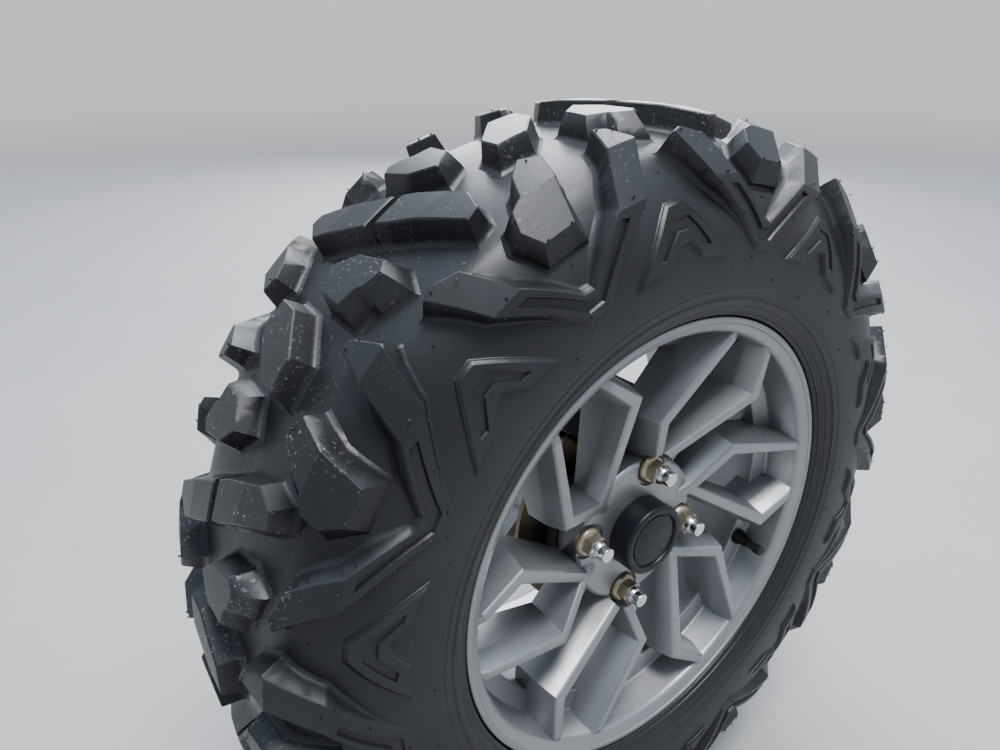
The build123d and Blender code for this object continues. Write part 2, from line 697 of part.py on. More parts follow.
with BuildPart() as bearing_carrier:
    with BuildSketch(Plane.XZ.offset(CARRIER_LIP)):
        Circle(CARRIER_R)
    extrude(amount=-CARRIER_LIP - mounting_y)
    with BuildSketch(Plane.XZ.offset(-flange_y)):
        with PolarLocations(FLANGE_BOLT_CIRCLE_R, FLANGE_BOLTS, start_angle=FLANGE_FIRST):
            Circle(FLANGE_LOBE_R)
        with PolarLocations(FLANGE_BOLT_CIRCLE_R / 2, FLANGE_BOLTS, start_angle=FLANGE_FIRST):
            Rectangle(FLANGE_BOLT_CIRCLE_R, FLANGE_LOBE_R * 2)
    extrude(amount=-FLANGE_T)
    add([
        turned(carrier_rib.part, FLANGE_FIRST + 360 / FLANGE_BOLTS * k)
        for k in range(FLANGE_BOLTS)
    ])
    with BuildSketch(Plane.XZ.offset(-caliper_in_y)):
        with Locations((EAR_X, EAR_Z), (-EAR_X, EAR_Z)):
            Circle(EAR_R)
        for side in (-1, 1):
            Polygon(
                (side * (EAR_X + EAR_R), EAR_Z),
                (side * (EAR_X - EAR_R), EAR_Z),
                *[(side * x, z) for x, z in reversed(EAR_ROOT)],
                align=None,
            )
    extrude(amount=-EAR_T)
    with BuildSketch(Plane.XZ):
        Circle(BEARING_R)
    extrude(amount=-mounting_y, mode=Mode.SUBTRACT)
    with BuildSketch(Plane.XZ.offset(CARRIER_LIP)):
        Circle(CARRIER_LIP_R)
    extrude(amount=-CARRIER_LIP, mode=Mode.SUBTRACT)
    with BuildSketch(Plane.XZ.offset(-BEARING_W)):
        Circle(BEARING_R + CLIP_REACH)
    extrude(amount=-CLIP_T, mode=Mode.SUBTRACT)
    with BuildSketch(Plane.XZ.offset(-flange_y)):
        with PolarLocations(FLANGE_BOLT_CIRCLE_R, FLANGE_BOLTS, start_angle=FLANGE_FIRST):
            Circle(FLANGE_BOLT_R)
    extrude(amount=-FLANGE_T, mode=Mode.SUBTRACT)
    with BuildSketch(Plane.XZ.offset(-caliper_in_y)):
        with Locations((EAR_X, EAR_Z), (-EAR_X, EAR_Z)):
            Circle(EAR_BOLT_R)
    extrude(amount=-EAR_T, mode=Mode.SUBTRACT)
finish(bearing_carrier.part, "bearing_carrier")

with BuildPart() as bearing_clip:
    with BuildSketch(Plane.XZ.offset(-BEARING_W)):
        Circle(BEARING_R + CLIP_REACH)
        Circle(BEARING_R - CLIP_IN, mode=Mode.SUBTRACT)
        with Locations((0, -BEARING_R)):
            Rectangle(CLIP_MOUTH, CLIP_MOUTH, mode=Mode.SUBTRACT)
    extrude(amount=-CLIP_T)
finish(bearing_clip.part, "bearing_clip")

# Brake caliper: two cheeks joined over the disc, the piston's housing on the inner one,
# and a flat head on it for the brake line and the bleed screw
CALIPER_CHIN = 6.0           # slant at the foot of each end
CALIPER_CHEEK = 10.0
CALIPER_BULGE = 5.0
CALIPER_SHOULDER = (14.0, 12.0)
pad_out_y = disc_out_y - PAD_GAP
pad_in_y = disc_in_y + PAD_GAP
finger_y = pad_out_y - PAD_T
caliper_foot_z = HUB_FLANGE_R + DISC_CLEARANCE + PAD_GAP
pad_half = CALIPER_HALF - CALIPER_CHEEK
shoulder_x, shoulder_z = CALIPER_SHOULDER
caliper_side = (
    (CALIPER_HALF - CALIPER_CHEEK, caliper_foot_z),
    (CALIPER_HALF, caliper_foot_z + CALIPER_CHIN),
    (CALIPER_HALF + CALIPER_BULGE, EAR_Z),
    (CALIPER_HALF, CALIPER_TOP_Z - shoulder_z),
    (CALIPER_HALF - shoulder_x, CALIPER_TOP_Z),
)
with BuildPart() as caliper_body:
    with BuildSketch(Plane.XZ.offset(-caliper_in_y)):
        Polygon(*caliper_side, *[(-x, z) for x, z in reversed(caliper_side)], align=None)
    extrude(amount=caliper_in_y - finger_y + FINGER_T)
    with BuildSketch(Plane.XZ.offset(-caliper_in_y)):
        with Locations((0, EAR_Z)):
            Circle(HOUSING_R)
    extrude(amount=-HOUSING_L)
    with BuildSketch(Plane.XZ.offset(-caliper_in_y)):
        Polygon(
            (-HEAD_HALF, EAR_Z),
            (HEAD_HALF, EAR_Z),
            (HEAD_HALF, CALIPER_TOP_Z),
            (-HEAD_HALF, CALIPER_TOP_Z),
            align=None,
        )
    extrude(amount=-HEAD_T)
    with BuildSketch(Plane.XZ.offset(-finger_y)):
        Circle(DISC_R + DISC_CLEARANCE)
    extrude(amount=finger_y - pad_in_y - PAD_T, mode=Mode.SUBTRACT)
    with BuildSketch(Plane.XZ.offset(-caliper_in_y)):
        with Locations((EAR_X, EAR_Z), (-EAR_X, EAR_Z)):
            Circle(EAR_BOLT_R)
    extrude(amount=CALIPER_BOLT_GRIP, mode=Mode.SUBTRACT)
    with BuildSketch(Plane.XY.offset(CALIPER_TOP_Z)):
        with Locations((PORT_X, HEAD_Y)):
            Circle(PORT_R)
        with Locations((BLEED_X, HEAD_Y)):
            Circle(BLEED_R)
    extrude(amount=-PORT_DEPTH, mode=Mode.SUBTRACT)
finish(caliper_body.part, "caliper_body")

for label, y in (("brake_pad_outer", pad_out_y), ("brake_pad_inner", pad_in_y + PAD_T)):
    with BuildPart() as brake_pad:
        with BuildSketch(Plane.XZ.offset(-y)):
            Polygon(
                (-pad_half, caliper_foot_z),
                (pad_half, caliper_foot_z),
                (pad_half, DISC_R - PAD_CORNER),
                (pad_half - PAD_CORNER, DISC_R),
                (PAD_CORNER - pad_half, DISC_R),
                (-pad_half, DISC_R - PAD_CORNER),
                align=None,
            )
        extrude(amount=PAD_T)
    finish(brake_pad.part, label)

for label, x in (("caliper_bolt_front", -EAR_X), ("caliper_bolt_rear", EAR_X)):
    with BuildPart() as caliper_bolt:
        with BuildSketch(Plane.XZ.offset(-caliper_in_y - EAR_T)):
            with Locations((x, EAR_Z)):
                Circle(EAR_BOLT_R)
        extrude(amount=EAR_T + CALIPER_BOLT_GRIP)
        with BuildSketch(Plane.XZ.offset(-caliper_in_y - EAR_T)):
            with Locations((x, EAR_Z)):
                RegularPolygon(CALIPER_BOLT_AF / 2, 6, major_radius=False)
        extrude(amount=-CALIPER_BOLT_HEAD_T)
    finish(caliper_bolt.part, label)

BLEED_COLLAR = 2.0
BLEED_HEX_T = 5.0
BLEED_NIPPLE = 6.0
with BuildPart() as bleed_screw:
    with BuildSketch(Plane.XY.offset(CALIPER_TOP_Z - PORT_DEPTH)):
        with Locations((BLEED_X, HEAD_Y)):
            Circle(BLEED_R)
    extrude(amount=PORT_DEPTH + BLEED_COLLAR + BLEED_HEX_T + BLEED_NIPPLE)
    with BuildSketch(Plane.XY.offset(CALIPER_TOP_Z + BLEED_COLLAR)):
        with Locations((BLEED_X, HEAD_Y)):
            RegularPolygon(BLEED_AF / 2, 6, major_radius=False)
    extrude(amount=BLEED_HEX_T)
finish(bleed_screw.part, "bleed_screw")
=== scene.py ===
import bmesh
import bpy
import json
import random
from math import ceil, cos, hypot, pi, radians, sin, sqrt
from mathutils import Matrix, Vector


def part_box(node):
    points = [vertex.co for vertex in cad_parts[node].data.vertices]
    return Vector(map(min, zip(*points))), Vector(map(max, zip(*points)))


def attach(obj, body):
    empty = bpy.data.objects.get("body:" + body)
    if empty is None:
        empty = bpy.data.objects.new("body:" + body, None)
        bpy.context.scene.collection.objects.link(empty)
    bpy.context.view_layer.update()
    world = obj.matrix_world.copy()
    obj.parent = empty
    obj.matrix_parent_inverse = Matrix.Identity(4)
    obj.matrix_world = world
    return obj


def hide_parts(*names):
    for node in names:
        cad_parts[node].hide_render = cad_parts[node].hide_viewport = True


# Off-road wheel of a utility vehicle. Millimetres in the tables, with Y measured from the
# wheel's middle plane, its outer face towards -Y. place() turns them into the frame's metres.

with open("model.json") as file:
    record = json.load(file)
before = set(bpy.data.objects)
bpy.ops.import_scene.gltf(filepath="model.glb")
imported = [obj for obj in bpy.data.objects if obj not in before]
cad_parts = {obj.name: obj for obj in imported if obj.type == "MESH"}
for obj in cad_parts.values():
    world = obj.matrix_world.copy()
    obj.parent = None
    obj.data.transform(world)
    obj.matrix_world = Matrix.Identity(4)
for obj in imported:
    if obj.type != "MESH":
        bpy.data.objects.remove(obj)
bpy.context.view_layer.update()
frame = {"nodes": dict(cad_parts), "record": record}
tyre_low, tyre_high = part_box("tyre")
CENTRE_Y = (tyre_low.y + tyre_high.y) / 2
FLOOR_Z = tyre_low.z
MM = 0.001

random.seed(7)


def place(x, y, z):
    """A point in the frame's metres, from millimetres at the wheel's centre."""
    return Vector((x * MM, y * MM + CENTRE_Y, z * MM))


# Camera

CAMERA_AT = Vector((-0.39223, -0.45897, 0.36707))
CAMERA_RIGHT = Vector((0.8069, -0.5906, 0.0))
CAMERA_UP = Vector((0.2412, 0.3295, 0.9128))
LENS_MM = 27.0
SENSOR_MM = 36.0
CLIP_M = 0.02


def make_camera():
    data = bpy.data.cameras.new("camera")
    data.lens = LENS_MM
    data.sensor_width = SENSOR_MM
    data.clip_start = CLIP_M
    camera = bpy.data.objects.new("camera", data)
    bpy.context.scene.collection.objects.link(camera)
    right = CAMERA_RIGHT.normalized()
    back = right.cross(CAMERA_UP).normalized()
    up = back.cross(right)
    turn = Matrix((right, up, back)).transposed()
    camera.matrix_world = Matrix.Translation(CAMERA_AT) @ turn.to_4x4()
    bpy.context.scene.camera = camera


# Mesh helpers

# Points nearer than this are welded, in metres
WELD_M = 1e-6
# Most of a side that the arc at one of its corners may take
CORNER_SHARE = 0.45


def link(name, mesh, material, body, replaced=(), sharp=35):
    """Adds a finished mesh as a piece that rides on a body. Edges that turn by more than the
    sharp angle stay sharp."""
    mesh.name = name
    mesh.shade_smooth()
    mesh.set_sharp_from_angle(angle=radians(sharp))
    piece = bpy.data.objects.new(name, mesh)
    bpy.context.scene.collection.objects.link(piece)
    mesh.materials.clear()
    mesh.materials.append(material)
    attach(piece, body)
    if replaced:
        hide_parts(*replaced)


def mesh_of(verts, faces):
    """A mesh of points in metres and faces of their numbers."""
    mesh = bpy.data.meshes.new("mesh")
    mesh.from_pydata([tuple(v) for v in verts], [], faces)
    mesh.validate()
    mesh.update()
    return mesh


def joined(parts):
    """One mesh of several verts and faces lists."""
    verts, faces = [], []
    for more_verts, more_faces in parts:
        base = len(verts)
        verts += more_verts
        faces += [tuple(base + i for i in f) for f in more_faces]
    return mesh_of(verts, faces)


def lathe(outline, segments):
    """Revolves a closed outline of (y, radius) round the spin axis, as verts and faces."""
    verts = []
    faces = []
    rows = len(outline)
    for k in range(segments):
        angle = 2 * pi * k / segments
        for y, r in outline:
            verts.append(place(r * cos(angle), y, r * sin(angle)))
    for k in range(segments):
        a = k * rows
        b = (k + 1) % segments * rows
        for i in range(rows):
            j = (i + 1) % rows
            faces.append((a + i, a + j, b + j, b + i))
    return verts, faces


def outward(mesh, weld=False):
    """The mesh with all its faces turned outward, and its double points welded if asked."""
    work = bmesh.new()
    work.from_mesh(mesh)
    if weld:
        bmesh.ops.remove_doubles(work, verts=work.verts, dist=WELD_M)
    bmesh.ops.recalc_face_normals(work, faces=work.faces)
    work.to_mesh(mesh)
    work.free()
    return mesh


def lathe_mesh(outline, segments):
    """A lathed closed outline, welded where it meets the axis."""
    return outward(mesh_of(*lathe(outline, segments)), weld=True)


def rounded(outline, radius, steps=3):
    """The closed outline with each corner cut to an arc."""
    points = []
    count = len(outline)
    for i, here in enumerate(outline):
        here = Vector(here)
        before = Vector(outline[i - 1]) - here
        after = Vector(outline[(i + 1) % count]) - here
        reach = min(radius, before.length * CORNER_SHARE, after.length * CORNER_SHARE)
        start = here + before.normalized() * reach
        end = here + after.normalized() * reach
        for k in range(steps + 1):
            t = k / steps
            curve = start * (1 - t) ** 2 + here * 2 * t * (1 - t) + end * t * t
            points.append((curve.x, curve.y))
    return points


def smooth_line(points, share):
    """Point at a share, 0 to 1, of the smooth line through the points (Catmull-Rom)."""
    spans = len(points) - 1
    at = min(max(share, 0.0), 1.0) * spans
    i = min(int(at), spans - 1)
    t = at - i
    p1, p2 = points[i], points[i + 1]
    p0 = points[i - 1] if i else tuple(2 * a - b for a, b in zip(p1, p2))
    p3 = points[i + 2] if i + 2 <= spans else tuple(2 * a - b for a, b in zip(p2, p1))
    return tuple(
        0.5 * (2 * b + (c - a) * t + (2 * a - 5 * b + 4 * c - d) * t * t
               + (3 * b - a - 3 * c + d) * t ** 3)
        for a, b, c, d in zip(p0, p1, p2, p3)
    )


def between(table, at):
    """Value at a place in a table of (place, value), in a straight line between its rows."""
    for (a, low), (b, high) in zip(table, table[1:]):
        if at <= b:
            break
    share = min(max((at - a) / (b - a), 0.0), 1.0)
    return low + (high - low) * share


# Tyre surface: the smooth shell over the lugs' tips, from the outer lip of the rim to the
# inner one. Columns: Y, radius. The inner half is the mirror image.
SHELL_HALF = (
    (-96.5, 191.5), (-104.0, 203.0), (-108.3, 220.0), (-109.8, 245.0), (-108.3, 275.0),
    (-102.0, 298.0), (-88.0, 316.0), (-66.0, 324.0), (-33.0, 327.4), (0.0, 328.0),
)
SHELL = SHELL_HALF + tuple((-y, r) for y, r in reversed(SHELL_HALF[:-1]))
# Arc from a lip to the middle of the tread
HALF_ARC = 222.8
# Depth of the casing under that shell, by arc from the lip
CASING_DEPTH = (
    (0.0, 0.0), (20.0, 0.3), (40.0, 1.0), (56.0, 1.6), (66.0, 2.6), (76.0, 5.0), (88.0, 9.4),
    (100.0, 13.2), (112.0, 15.8), (128.0, 17.6), (160.0, 17.2), (HALF_ARC, 17.0),
)
# Arc on each side over which the corners of that table are eased, in whole millimetres
CASING_EASE = 7
# Place of the first V, in degrees from +X towards +Z, and the repeats round the tyre
TREAD_FIRST = 114.6
UNITS = 10
UNIT = 360 / UNITS
# Length of a degree at the lugs, for their widths in the flat
MM_PER_DEGREE = 5.2
# Spread of a lug's foot beyond its top: at most, at no height, and for each mm of height
WALL_DRAFT = 2.6
DRAFT_LEAST = 0.4
DRAFT_SHARE = 0.25
# Sections of a lug's top edge and of the fillet at its foot: out and down, in shares of
# EDGE and ROOT, which take at most EDGE_SHARE of the lug's height
EDGE = 0.9
ROOT = 4.2
EDGE_SHARE = 0.45
EDGE_CURVE = ((-1.0, 0.0), (0.0, 1.0))
ROOT_CURVE = ((0.0, -1.0), (0.1, -0.62), (0.38, -0.25), (1.0, 0.08), (1.0, 0.5))
# Least height of a lug, least stretch at a mitre, and depth of a lug in the flat, which
# stands for its whole height
LUG_LEAST = 0.8
MITRE_LEAST = 0.45
FLAT_DEPTH = 10
# Narrowing of a groove from its mouth to its floor, and its most depth, in shares
GROOVE_TAPER = 0.45
GROOVE_MOST = 0.8
# Longest stretch of a lug round the tyre and along the arc before it is bent
STEP_ROUND = 8.0
STEP_ARC = 6.0
CUT_NEAR = 1e-4


def shell_table():
    """The shell's points at every millimetre of arc."""
    steps = 4000
    fine = [smooth_line(SHELL, i / steps) for i in range(steps + 1)]
    arcs = [0.0]
    for a, b in zip(fine, fine[1:]):
        arcs.append(arcs[-1] + hypot(b[0] - a[0], b[1] - a[1]))
    scale = 2 * HALF_ARC / arcs[-1]
    table = []
    i = 0
    for s in range(int(2 * HALF_ARC) + 1):
        while arcs[i + 1] * scale < s:
            i += 1
        table.append(Vector(fine[i]))
    table.append(Vector(fine[-1]))
    return table


SHELL_AT = shell_table()


def casing_table():
    """The casing's depth at every millimetre of arc, with the table's corners eased."""
    last = int(HALF_ARC) + 1
    window = 2 * CASING_EASE + 1
    raw = []
    for s in range(-CASING_EASE, last + CASING_EASE + 1):
        raw.append(between(CASING_DEPTH, min(abs(s), 2 * last - abs(s))))
    return [sum(raw[i:i + window]) / window for i in range(last + 1)]


CASING_AT = casing_table()


def casing_depth(s):
    """Depth of the casing under the shell at an arc from the outer lip."""
    s = max(min(s, 2 * HALF_ARC - s), 0.0)
    i = min(int(s), len(CASING_AT) - 2)
    return CASING_AT[i] + (CASING_AT[i + 1] - CASING_AT[i]) * (s - i)


def shell_at(s):
    """The shell's point and its direction of rising arc, as (y, radius)."""
    s = min(max(s, 0.0), 2 * HALF_ARC)
    i = min(int(s), len(SHELL_AT) - 2)
    low, high = SHELL_AT[max(i - 2, 0)], SHELL_AT[min(i + 3, len(SHELL_AT) - 1)]
    return SHELL_AT[i].lerp(SHELL_AT[i + 1], s - i), (high - low).normalized()


def on_tyre(turn, s, height):
    """Point over the shell: degrees clockwise from the first V, arc from the outer lip and
    height above the shell."""
    here, along = shell_at(s)
    y = here.x - along.y * height
    r = here.y + along.x * height
    angle = radians(TREAD_FIRST - turn)
    return place(r * cos(angle), y, r * sin(angle))


class Facets:
    """Flat facets that the tops of a lug follow, between creases at given arcs. Elsewhere
    they follow the shell."""

    def __init__(self, creases, sunk=0.0):
        self.sunk = sunk
        ends = [shell_at(s)[0] for s in creases]
        self.spans = list(zip(creases, creases[1:], ends, ends[1:]))

    def at(self, s):
        """Depth below the shell, and the outward direction as (y, radius)."""
        along = shell_at(s)[1]
        for a, b, start, end in self.spans:
            if a <= s <= b:
                run = (end - start).normalized()
                out = Vector((-run.y, run.x))
                here = shell_at(s)[0]
                drop = (here - start).dot(out) / Vector((-along.y, along.x)).dot(out)
                return drop + self.sunk, out
        return self.sunk, Vector((-along.y, along.x))


def wound(loop):
    """The loop in counter-clockwise order."""
    area = sum(a[0] * b[1] - b[0] * a[1] for a, b in zip(loop, loop[1:] + loop[:1]))
    return loop if area > 0 else loop[::-1]


def mitres(loop):
    """For each point of a counter-clockwise loop, the move that shifts its sides out by 1."""
    moves = []
    for i, here in enumerate(loop):
        here = Vector(here)
        a = (here - Vector(loop[i - 1])).normalized()
        b = (Vector(loop[(i + 1) % len(loop)]) - here).normalized()
        normal = Vector((a.y, -a.x))
        mitre = normal + Vector((b.y, -b.x))
        if mitre.length < 1e-6:
            mitre = normal
        mitre.normalize()
        moves.append(mitre / max(mitre.dot(normal), MITRE_LEAST))
    return moves


def offset(loop, by):
    """The counter-clockwise loop with its sides moved out."""
    return [Vector(p) + m * by for p, m in zip(loop, mitres(loop))]


def stepped(loop, other):
    """Both loops with the same new points along their sides."""
    one, two = [], []
    for i in range(len(loop)):
        a, b = Vector(loop[i]), Vector(loop[(i + 1) % len(loop)])
        c, d = Vector(other[i]), Vector(other[(i + 1) % len(other)])
        count = max(1, ceil((b - a).length / STEP_ROUND))
        for k in range(count):
            one.append(a.lerp(b, k / count))
            two.append(c.lerp(d, k / count))
    return one, two


def to_mm(loop):
    """A loop of (degrees, arc) in the flat's millimetres, counter-clockwise."""
    return wound([(d * MM_PER_DEGREE, s) for d, s in loop])


def lug_wall(work, top, foot, thick):
    """Adds a lug's wall, with its top edge and the fillet at its foot, and returns the edges
    round its open top."""

    def ring(loop, moves, out, down, most, share):
        verts = []
        for p, m in zip(loop, moves):
            size = min(most, thick(p) * EDGE_SHARE)
            at = p + m * out * size
            depth = share + down * size / thick(p)
            verts.append(work.verts.new((at[0], at[1], -FLAT_DEPTH * depth)))
        return verts

    top_moves, foot_moves = mitres(top), mitres(foot)
    rings = [ring(top, top_moves, out, down, EDGE, 0.0) for out, down in EDGE_CURVE]
    rings += [ring(foot, foot_moves, out, down, ROOT, 1.0) for out, down in ROOT_CURVE]
    count = len(top)
    for upper, lower in zip(rings, rings[1:]):
        for i in range(count):
            j = (i + 1) % count
            work.faces.new((lower[i], lower[j], upper[j], upper[i]))
    return [work.edges.get((rings[0][i], rings[0][(i + 1) % count])) for i in range(count)]


def lug_groove(work, groove, groove_depth, thick):
    """Adds a groove's wall and floor, and returns the edges round its mouth."""
    line = to_mm(groove)
    line, floor = stepped(line, offset(line, -groove_depth * GROOVE_TAPER))
    upper = [work.verts.new((p[0], p[1], 0.0)) for p in line]
    lower = []
    for p in floor:
        depth = min(groove_depth / thick(p), GROOVE_MOST)
        lower.append(work.verts.new((p[0], p[1], -FLAT_DEPTH * depth)))
    count = len(line)
    for i in range(count):
        j = (i + 1) % count
        work.faces.new((upper[i], upper[j], lower[j], lower[i]))
    mouth = [work.edges.get((upper[i], upper[(i + 1) % count])) for i in range(count)]
    work.faces.new(lower).material_index = 1
    return mouth


def slice_lug(work, creases):
    """Cuts a flat lug into stretches short enough to be bent, and along its creases."""
    xs = [v.co.x for v in work.verts]
    ys = [v.co.y for v in work.verts]
    across = (Vector((1, 0, 0)), min(xs), max(xs), STEP_ROUND, ())
    along = (Vector((0, 1, 0)), min(ys), max(ys), STEP_ARC, creases)
    for normal, low, high, step, more in (across, along):
        cuts = int((high - low) / step)
        places = [low + (high - low) * k / (cuts + 1) for k in range(1, cuts + 1)]
        places += [c for c in more if low < c < high]
        for distance in places:
            geometry = work.verts[:] + work.edges[:] + work.faces[:]
            at = normal * distance
            bmesh.ops.bisect_plane(
                work, geom=geometry, plane_co=at, plane_no=normal, dist=CUT_NEAR
            )


def flat_lug(points, feet=None, creases=(), sunk=0.0, grooves=(), relief=0.0, groove_depth=1.9):
    """A lug in the flat: its points in mm round, arc and depth, where 0 is its top and
    -FLAT_DEPTH the casing, its faces, the arc at the middle of each face of its top, its
    relief and its facets. With a relief height it stands on the casing, not up to the shell."""
    facets = Facets(creases, sunk)

    def thick(p):
        return relief if relief else max(casing_depth(p[1]) - facets.at(p[1])[0], LUG_LEAST)

    top = to_mm(points)
    if feet:
        foot = to_mm(feet)
    else:
        foot = []
        for p, m in zip(top, mitres(top)):
            spread = min(WALL_DRAFT, DRAFT_SHARE * thick(p) + DRAFT_LEAST)
            foot.append(Vector(p) + m * spread)
    top, foot = stepped(top, foot)
    work = bmesh.new()
    open_edges = lug_wall(work, top, foot, thick)
    for groove in grooves:
        open_edges += lug_groove(work, groove, groove_depth, thick)
    filled = bmesh.ops.triangle_fill(work, use_beauty=True, use_dissolve=False, edges=open_edges)
    for face in filled["geom"]:
        if isinstance(face, bmesh.types.BMFace):
            face.material_index = 1
    slice_lug(work, creases)
    bmesh.ops.recalc_face_normals(work, faces=work.faces)
    if sum(f.normal.z * f.calc_area() for f in work.faces if f.material_index) < 0:
        bmesh.ops.reverse_faces(work, faces=work.faces)
    work.verts.index_update()
    verts = [v.co.copy() for v in work.verts]
    faces = [tuple(v.index for v in f.verts) for f in work.faces]
    middles = [f.calc_center_median().y if f.material_index else None for f in work.faces]
    work.free()
    return verts, faces, middles, relief, facets


class Lugs:
    """Lugs bent over the tyre, gathered into one mesh."""

    def __init__(self):
        self.verts, self.faces = [], []
        # For each face the directions of its corners, or None where it isn't a top
        self.tops = []

    def bend(self, lug, turn, far):
        """Adds a flat lug at a turn, on one side or turned end for end on the other."""
        flat, sides, middles, relief, facets = lug
        base = len(self.verts)
        turns = []
        for p in flat:
            d = p.x / MM_PER_DEGREE
            s = p.y
            depth = -p.z / FLAT_DEPTH
            under = casing_depth(s)
            if relief:
                height = relief * (1 - depth) - under
            else:
                top = facets.at(s)[0]
                height = min(-top - max(under - top, LUG_LEAST) * depth, -top)
            if far:
                d = -d
                s = 2 * HALF_ARC - s
            turns.append(radians(TREAD_FIRST - turn - d))
            self.verts.append(on_tyre(turn + d, s, height))
        self.faces.extend(tuple(base + i for i in f) for f in sides)
        for side, middle in zip(sides, middles):
            if middle is None:
                self.tops.append(None)
                continue
            out = facets.at(middle)[1] if facets.spans else None
            found = []
            for i in side:
                y, r = out or facets.at(flat[i].y)[1]
                if far:
                    y = -y
                found.append(Vector((r * cos(turns[i]), y, r * sin(turns[i]))))
            self.tops.append(found)

    def link(self, name, material):
        """Adds the piece, with the tops of its lugs shaded as the facets that they lie in."""
        mesh = mesh_of(self.verts, self.faces)
        link(name, mesh, material, "wheel", sharp=32)
        normals = [n.vector.copy() for n in mesh.corner_normals]
        for polygon, top in zip(mesh.polygons, self.tops):
            if top:
                for corner, normal in zip(polygon.loop_indices, top):
                    normals[corner] = normal
        mesh.normals_split_custom_set(normals)


# Tread unit. Columns: degrees clockwise from the middle of the V, arc from the outer lip.
# A FOOT is the same outline where the lug meets the casing, and CREASES are the arcs between
# the flat facets of a lug's top.
V_LUG = (
    (-15.6, 137), (-12.2, 101), (-1.6, 53), (2.1, 53.5), (12.1, 102), (15.0, 141),
    (13.9, 159), (12.4, 163), (11.3, 148), (10.5, 138), (7.6, 104), (0.5, 71.5),
    (-1.2, 72.5), (-7.8, 103), (-11.0, 134), (-14.3, 140),
)
V_CREASES = (102, 139, 163)
V_GROOVE = (
    (-9.4, 96), (-1.35, 59), (1.45, 59), (8.75, 96), (7.5, 98), (0.5, 67), (-1.05, 67), (-7.8, 96),
)
SHOULDER_LUG = (
    (-2.6, 110.8), (1.9, 110.4), (2.6, 121.4), (3.4, 136.4), (5.3, 162.5), (3.2, 171.5),
    (0.7, 160.0), (-1.1, 142.0), (-3.0, 137.4), (-3.9, 124.5),
)
SHOULDER_FOOT = (
    (-2.9, 96.5), (3.1, 96.0), (3.8, 121.4), (4.2, 136.4), (6.0, 164.0), (3.2, 174.0),
    (0.1, 161.5), (-1.8, 143.6), (-3.8, 139.0), (-4.9, 119.0),
)
SHOULDER_CREASES = (110, 140, 172)
CROWN_LONG = (
    (-6.2, 153.5), (-4.3, 157), (-3.1, 174), (-5.4, 211), (-6.3, 220), (-10.9, 218), (-10.3, 208),
    (-8.6, 188),
)
CROWN_LONG_CREASES = (153, 187, 221)
CROWN_FAR = (
    (-6.8, 226.5), (-7.8, 238), (-9.7, 262), (-11.9, 287), (-13.6, 288), (-15.2, 271), (-12.9, 240),
    (-11.6, 224.5),
)
CROWN_FAR_CREASES = (224, 257, 289)
CROWN_TIE = ((-6.6, 218), (-7.0, 229), (-11.3, 227), (-10.7, 216))
CROWN_TIE_CREASES = (215, 230)
CROWN_TIE_SUNK = 9.0
CROWN_MID = ((4.6, 200), (8.8, 200), (13.1, 226), (13.4, 245.6), (9.2, 245.6), (4.9, 219.6))
CROWN_MID_CREASES = (199, 246.6)
CROWN_SIDE = (
    (-13.9, 180.5), (-15.2, 174.5), (-17.4, 179.5), (-18.0, 184.0), (-20.3, 188.5), (-20.0, 211.0),
    (-17.0, 223.0), (-14.6, 206.0),
)
CROWN_SIDE_FOOT = (
    (-13.1, 178.0), (-14.8, 160.0), (-18.3, 169.0), (-18.6, 178.0), (-21.2, 181.0), (-20.9, 213.0),
    (-17.0, 226.0), (-14.0, 207.0),
)
CROWN_SIDE_CREASES = (174, 224)
CHEVRON = (
    (-9.0, 50.5), (-17.1, 90.5), (-19.7, 90.5), (-27.7, 50.5), (-25.4, 53.0), (-22.1, 51.7),
    (-18.5, 66.4), (-17.2, 66.4), (-14.6, 54.2), (-11.2, 52.5),
)
CHEVRON_GROOVE = (
    (-12.9, 60.5), (-16.7, 81.5), (-19.7, 81.5), (-23.8, 60.5), (-22.4, 59.0), (-19.3, 73.0),
    (-17.3, 73.0), (-14.5, 60.5),
)
CHEVRON_H = 2.6
CHEVRON_GROOVE_DEPTH = 1.5
# Places of the vent nubs on the lugs and on the casing
NUBS = (
    (-11.3, 97), (-6.4, 77), (-1.4, 56), (1.8, 56), (6.3, 78), (11.2, 97), (-14.4, 136.5),
    (-11.9, 130), (14.1, 155), (12.6, 159.5), (1.5, 112), (-2.0, 112), (3.6, 165), (-0.2, 108),
    (-9.7, 104), (10.2, 106),
)
CASING_NUBS = (
    (-11.6, 53), (-17.0, 83.5), (-19.2, 83.5), (-25.9, 53.5), (-18.0, 69.5), (-6.0, 38),
    (6.5, 33), (-18.4, 29), (-12.5, 104), (-23.5, 104), (-18.2, 116), (0.0, 88), (-1.8, 47),
)
NUB_SIDES = 5
# Radius at a nub's foot and end, least and most length in mm, and most lean in degrees
NUB_FOOT_R = 0.8
NUB_END_R = 0.5
NUB_LENGTH = (0.9, 1.6)
NUB_LEAN = 0.15
# How deep a nub starts in the casing, and how far under the shell in a lug
NUB_IN_CASING = 0.3
NUB_IN_LUG = 0.4


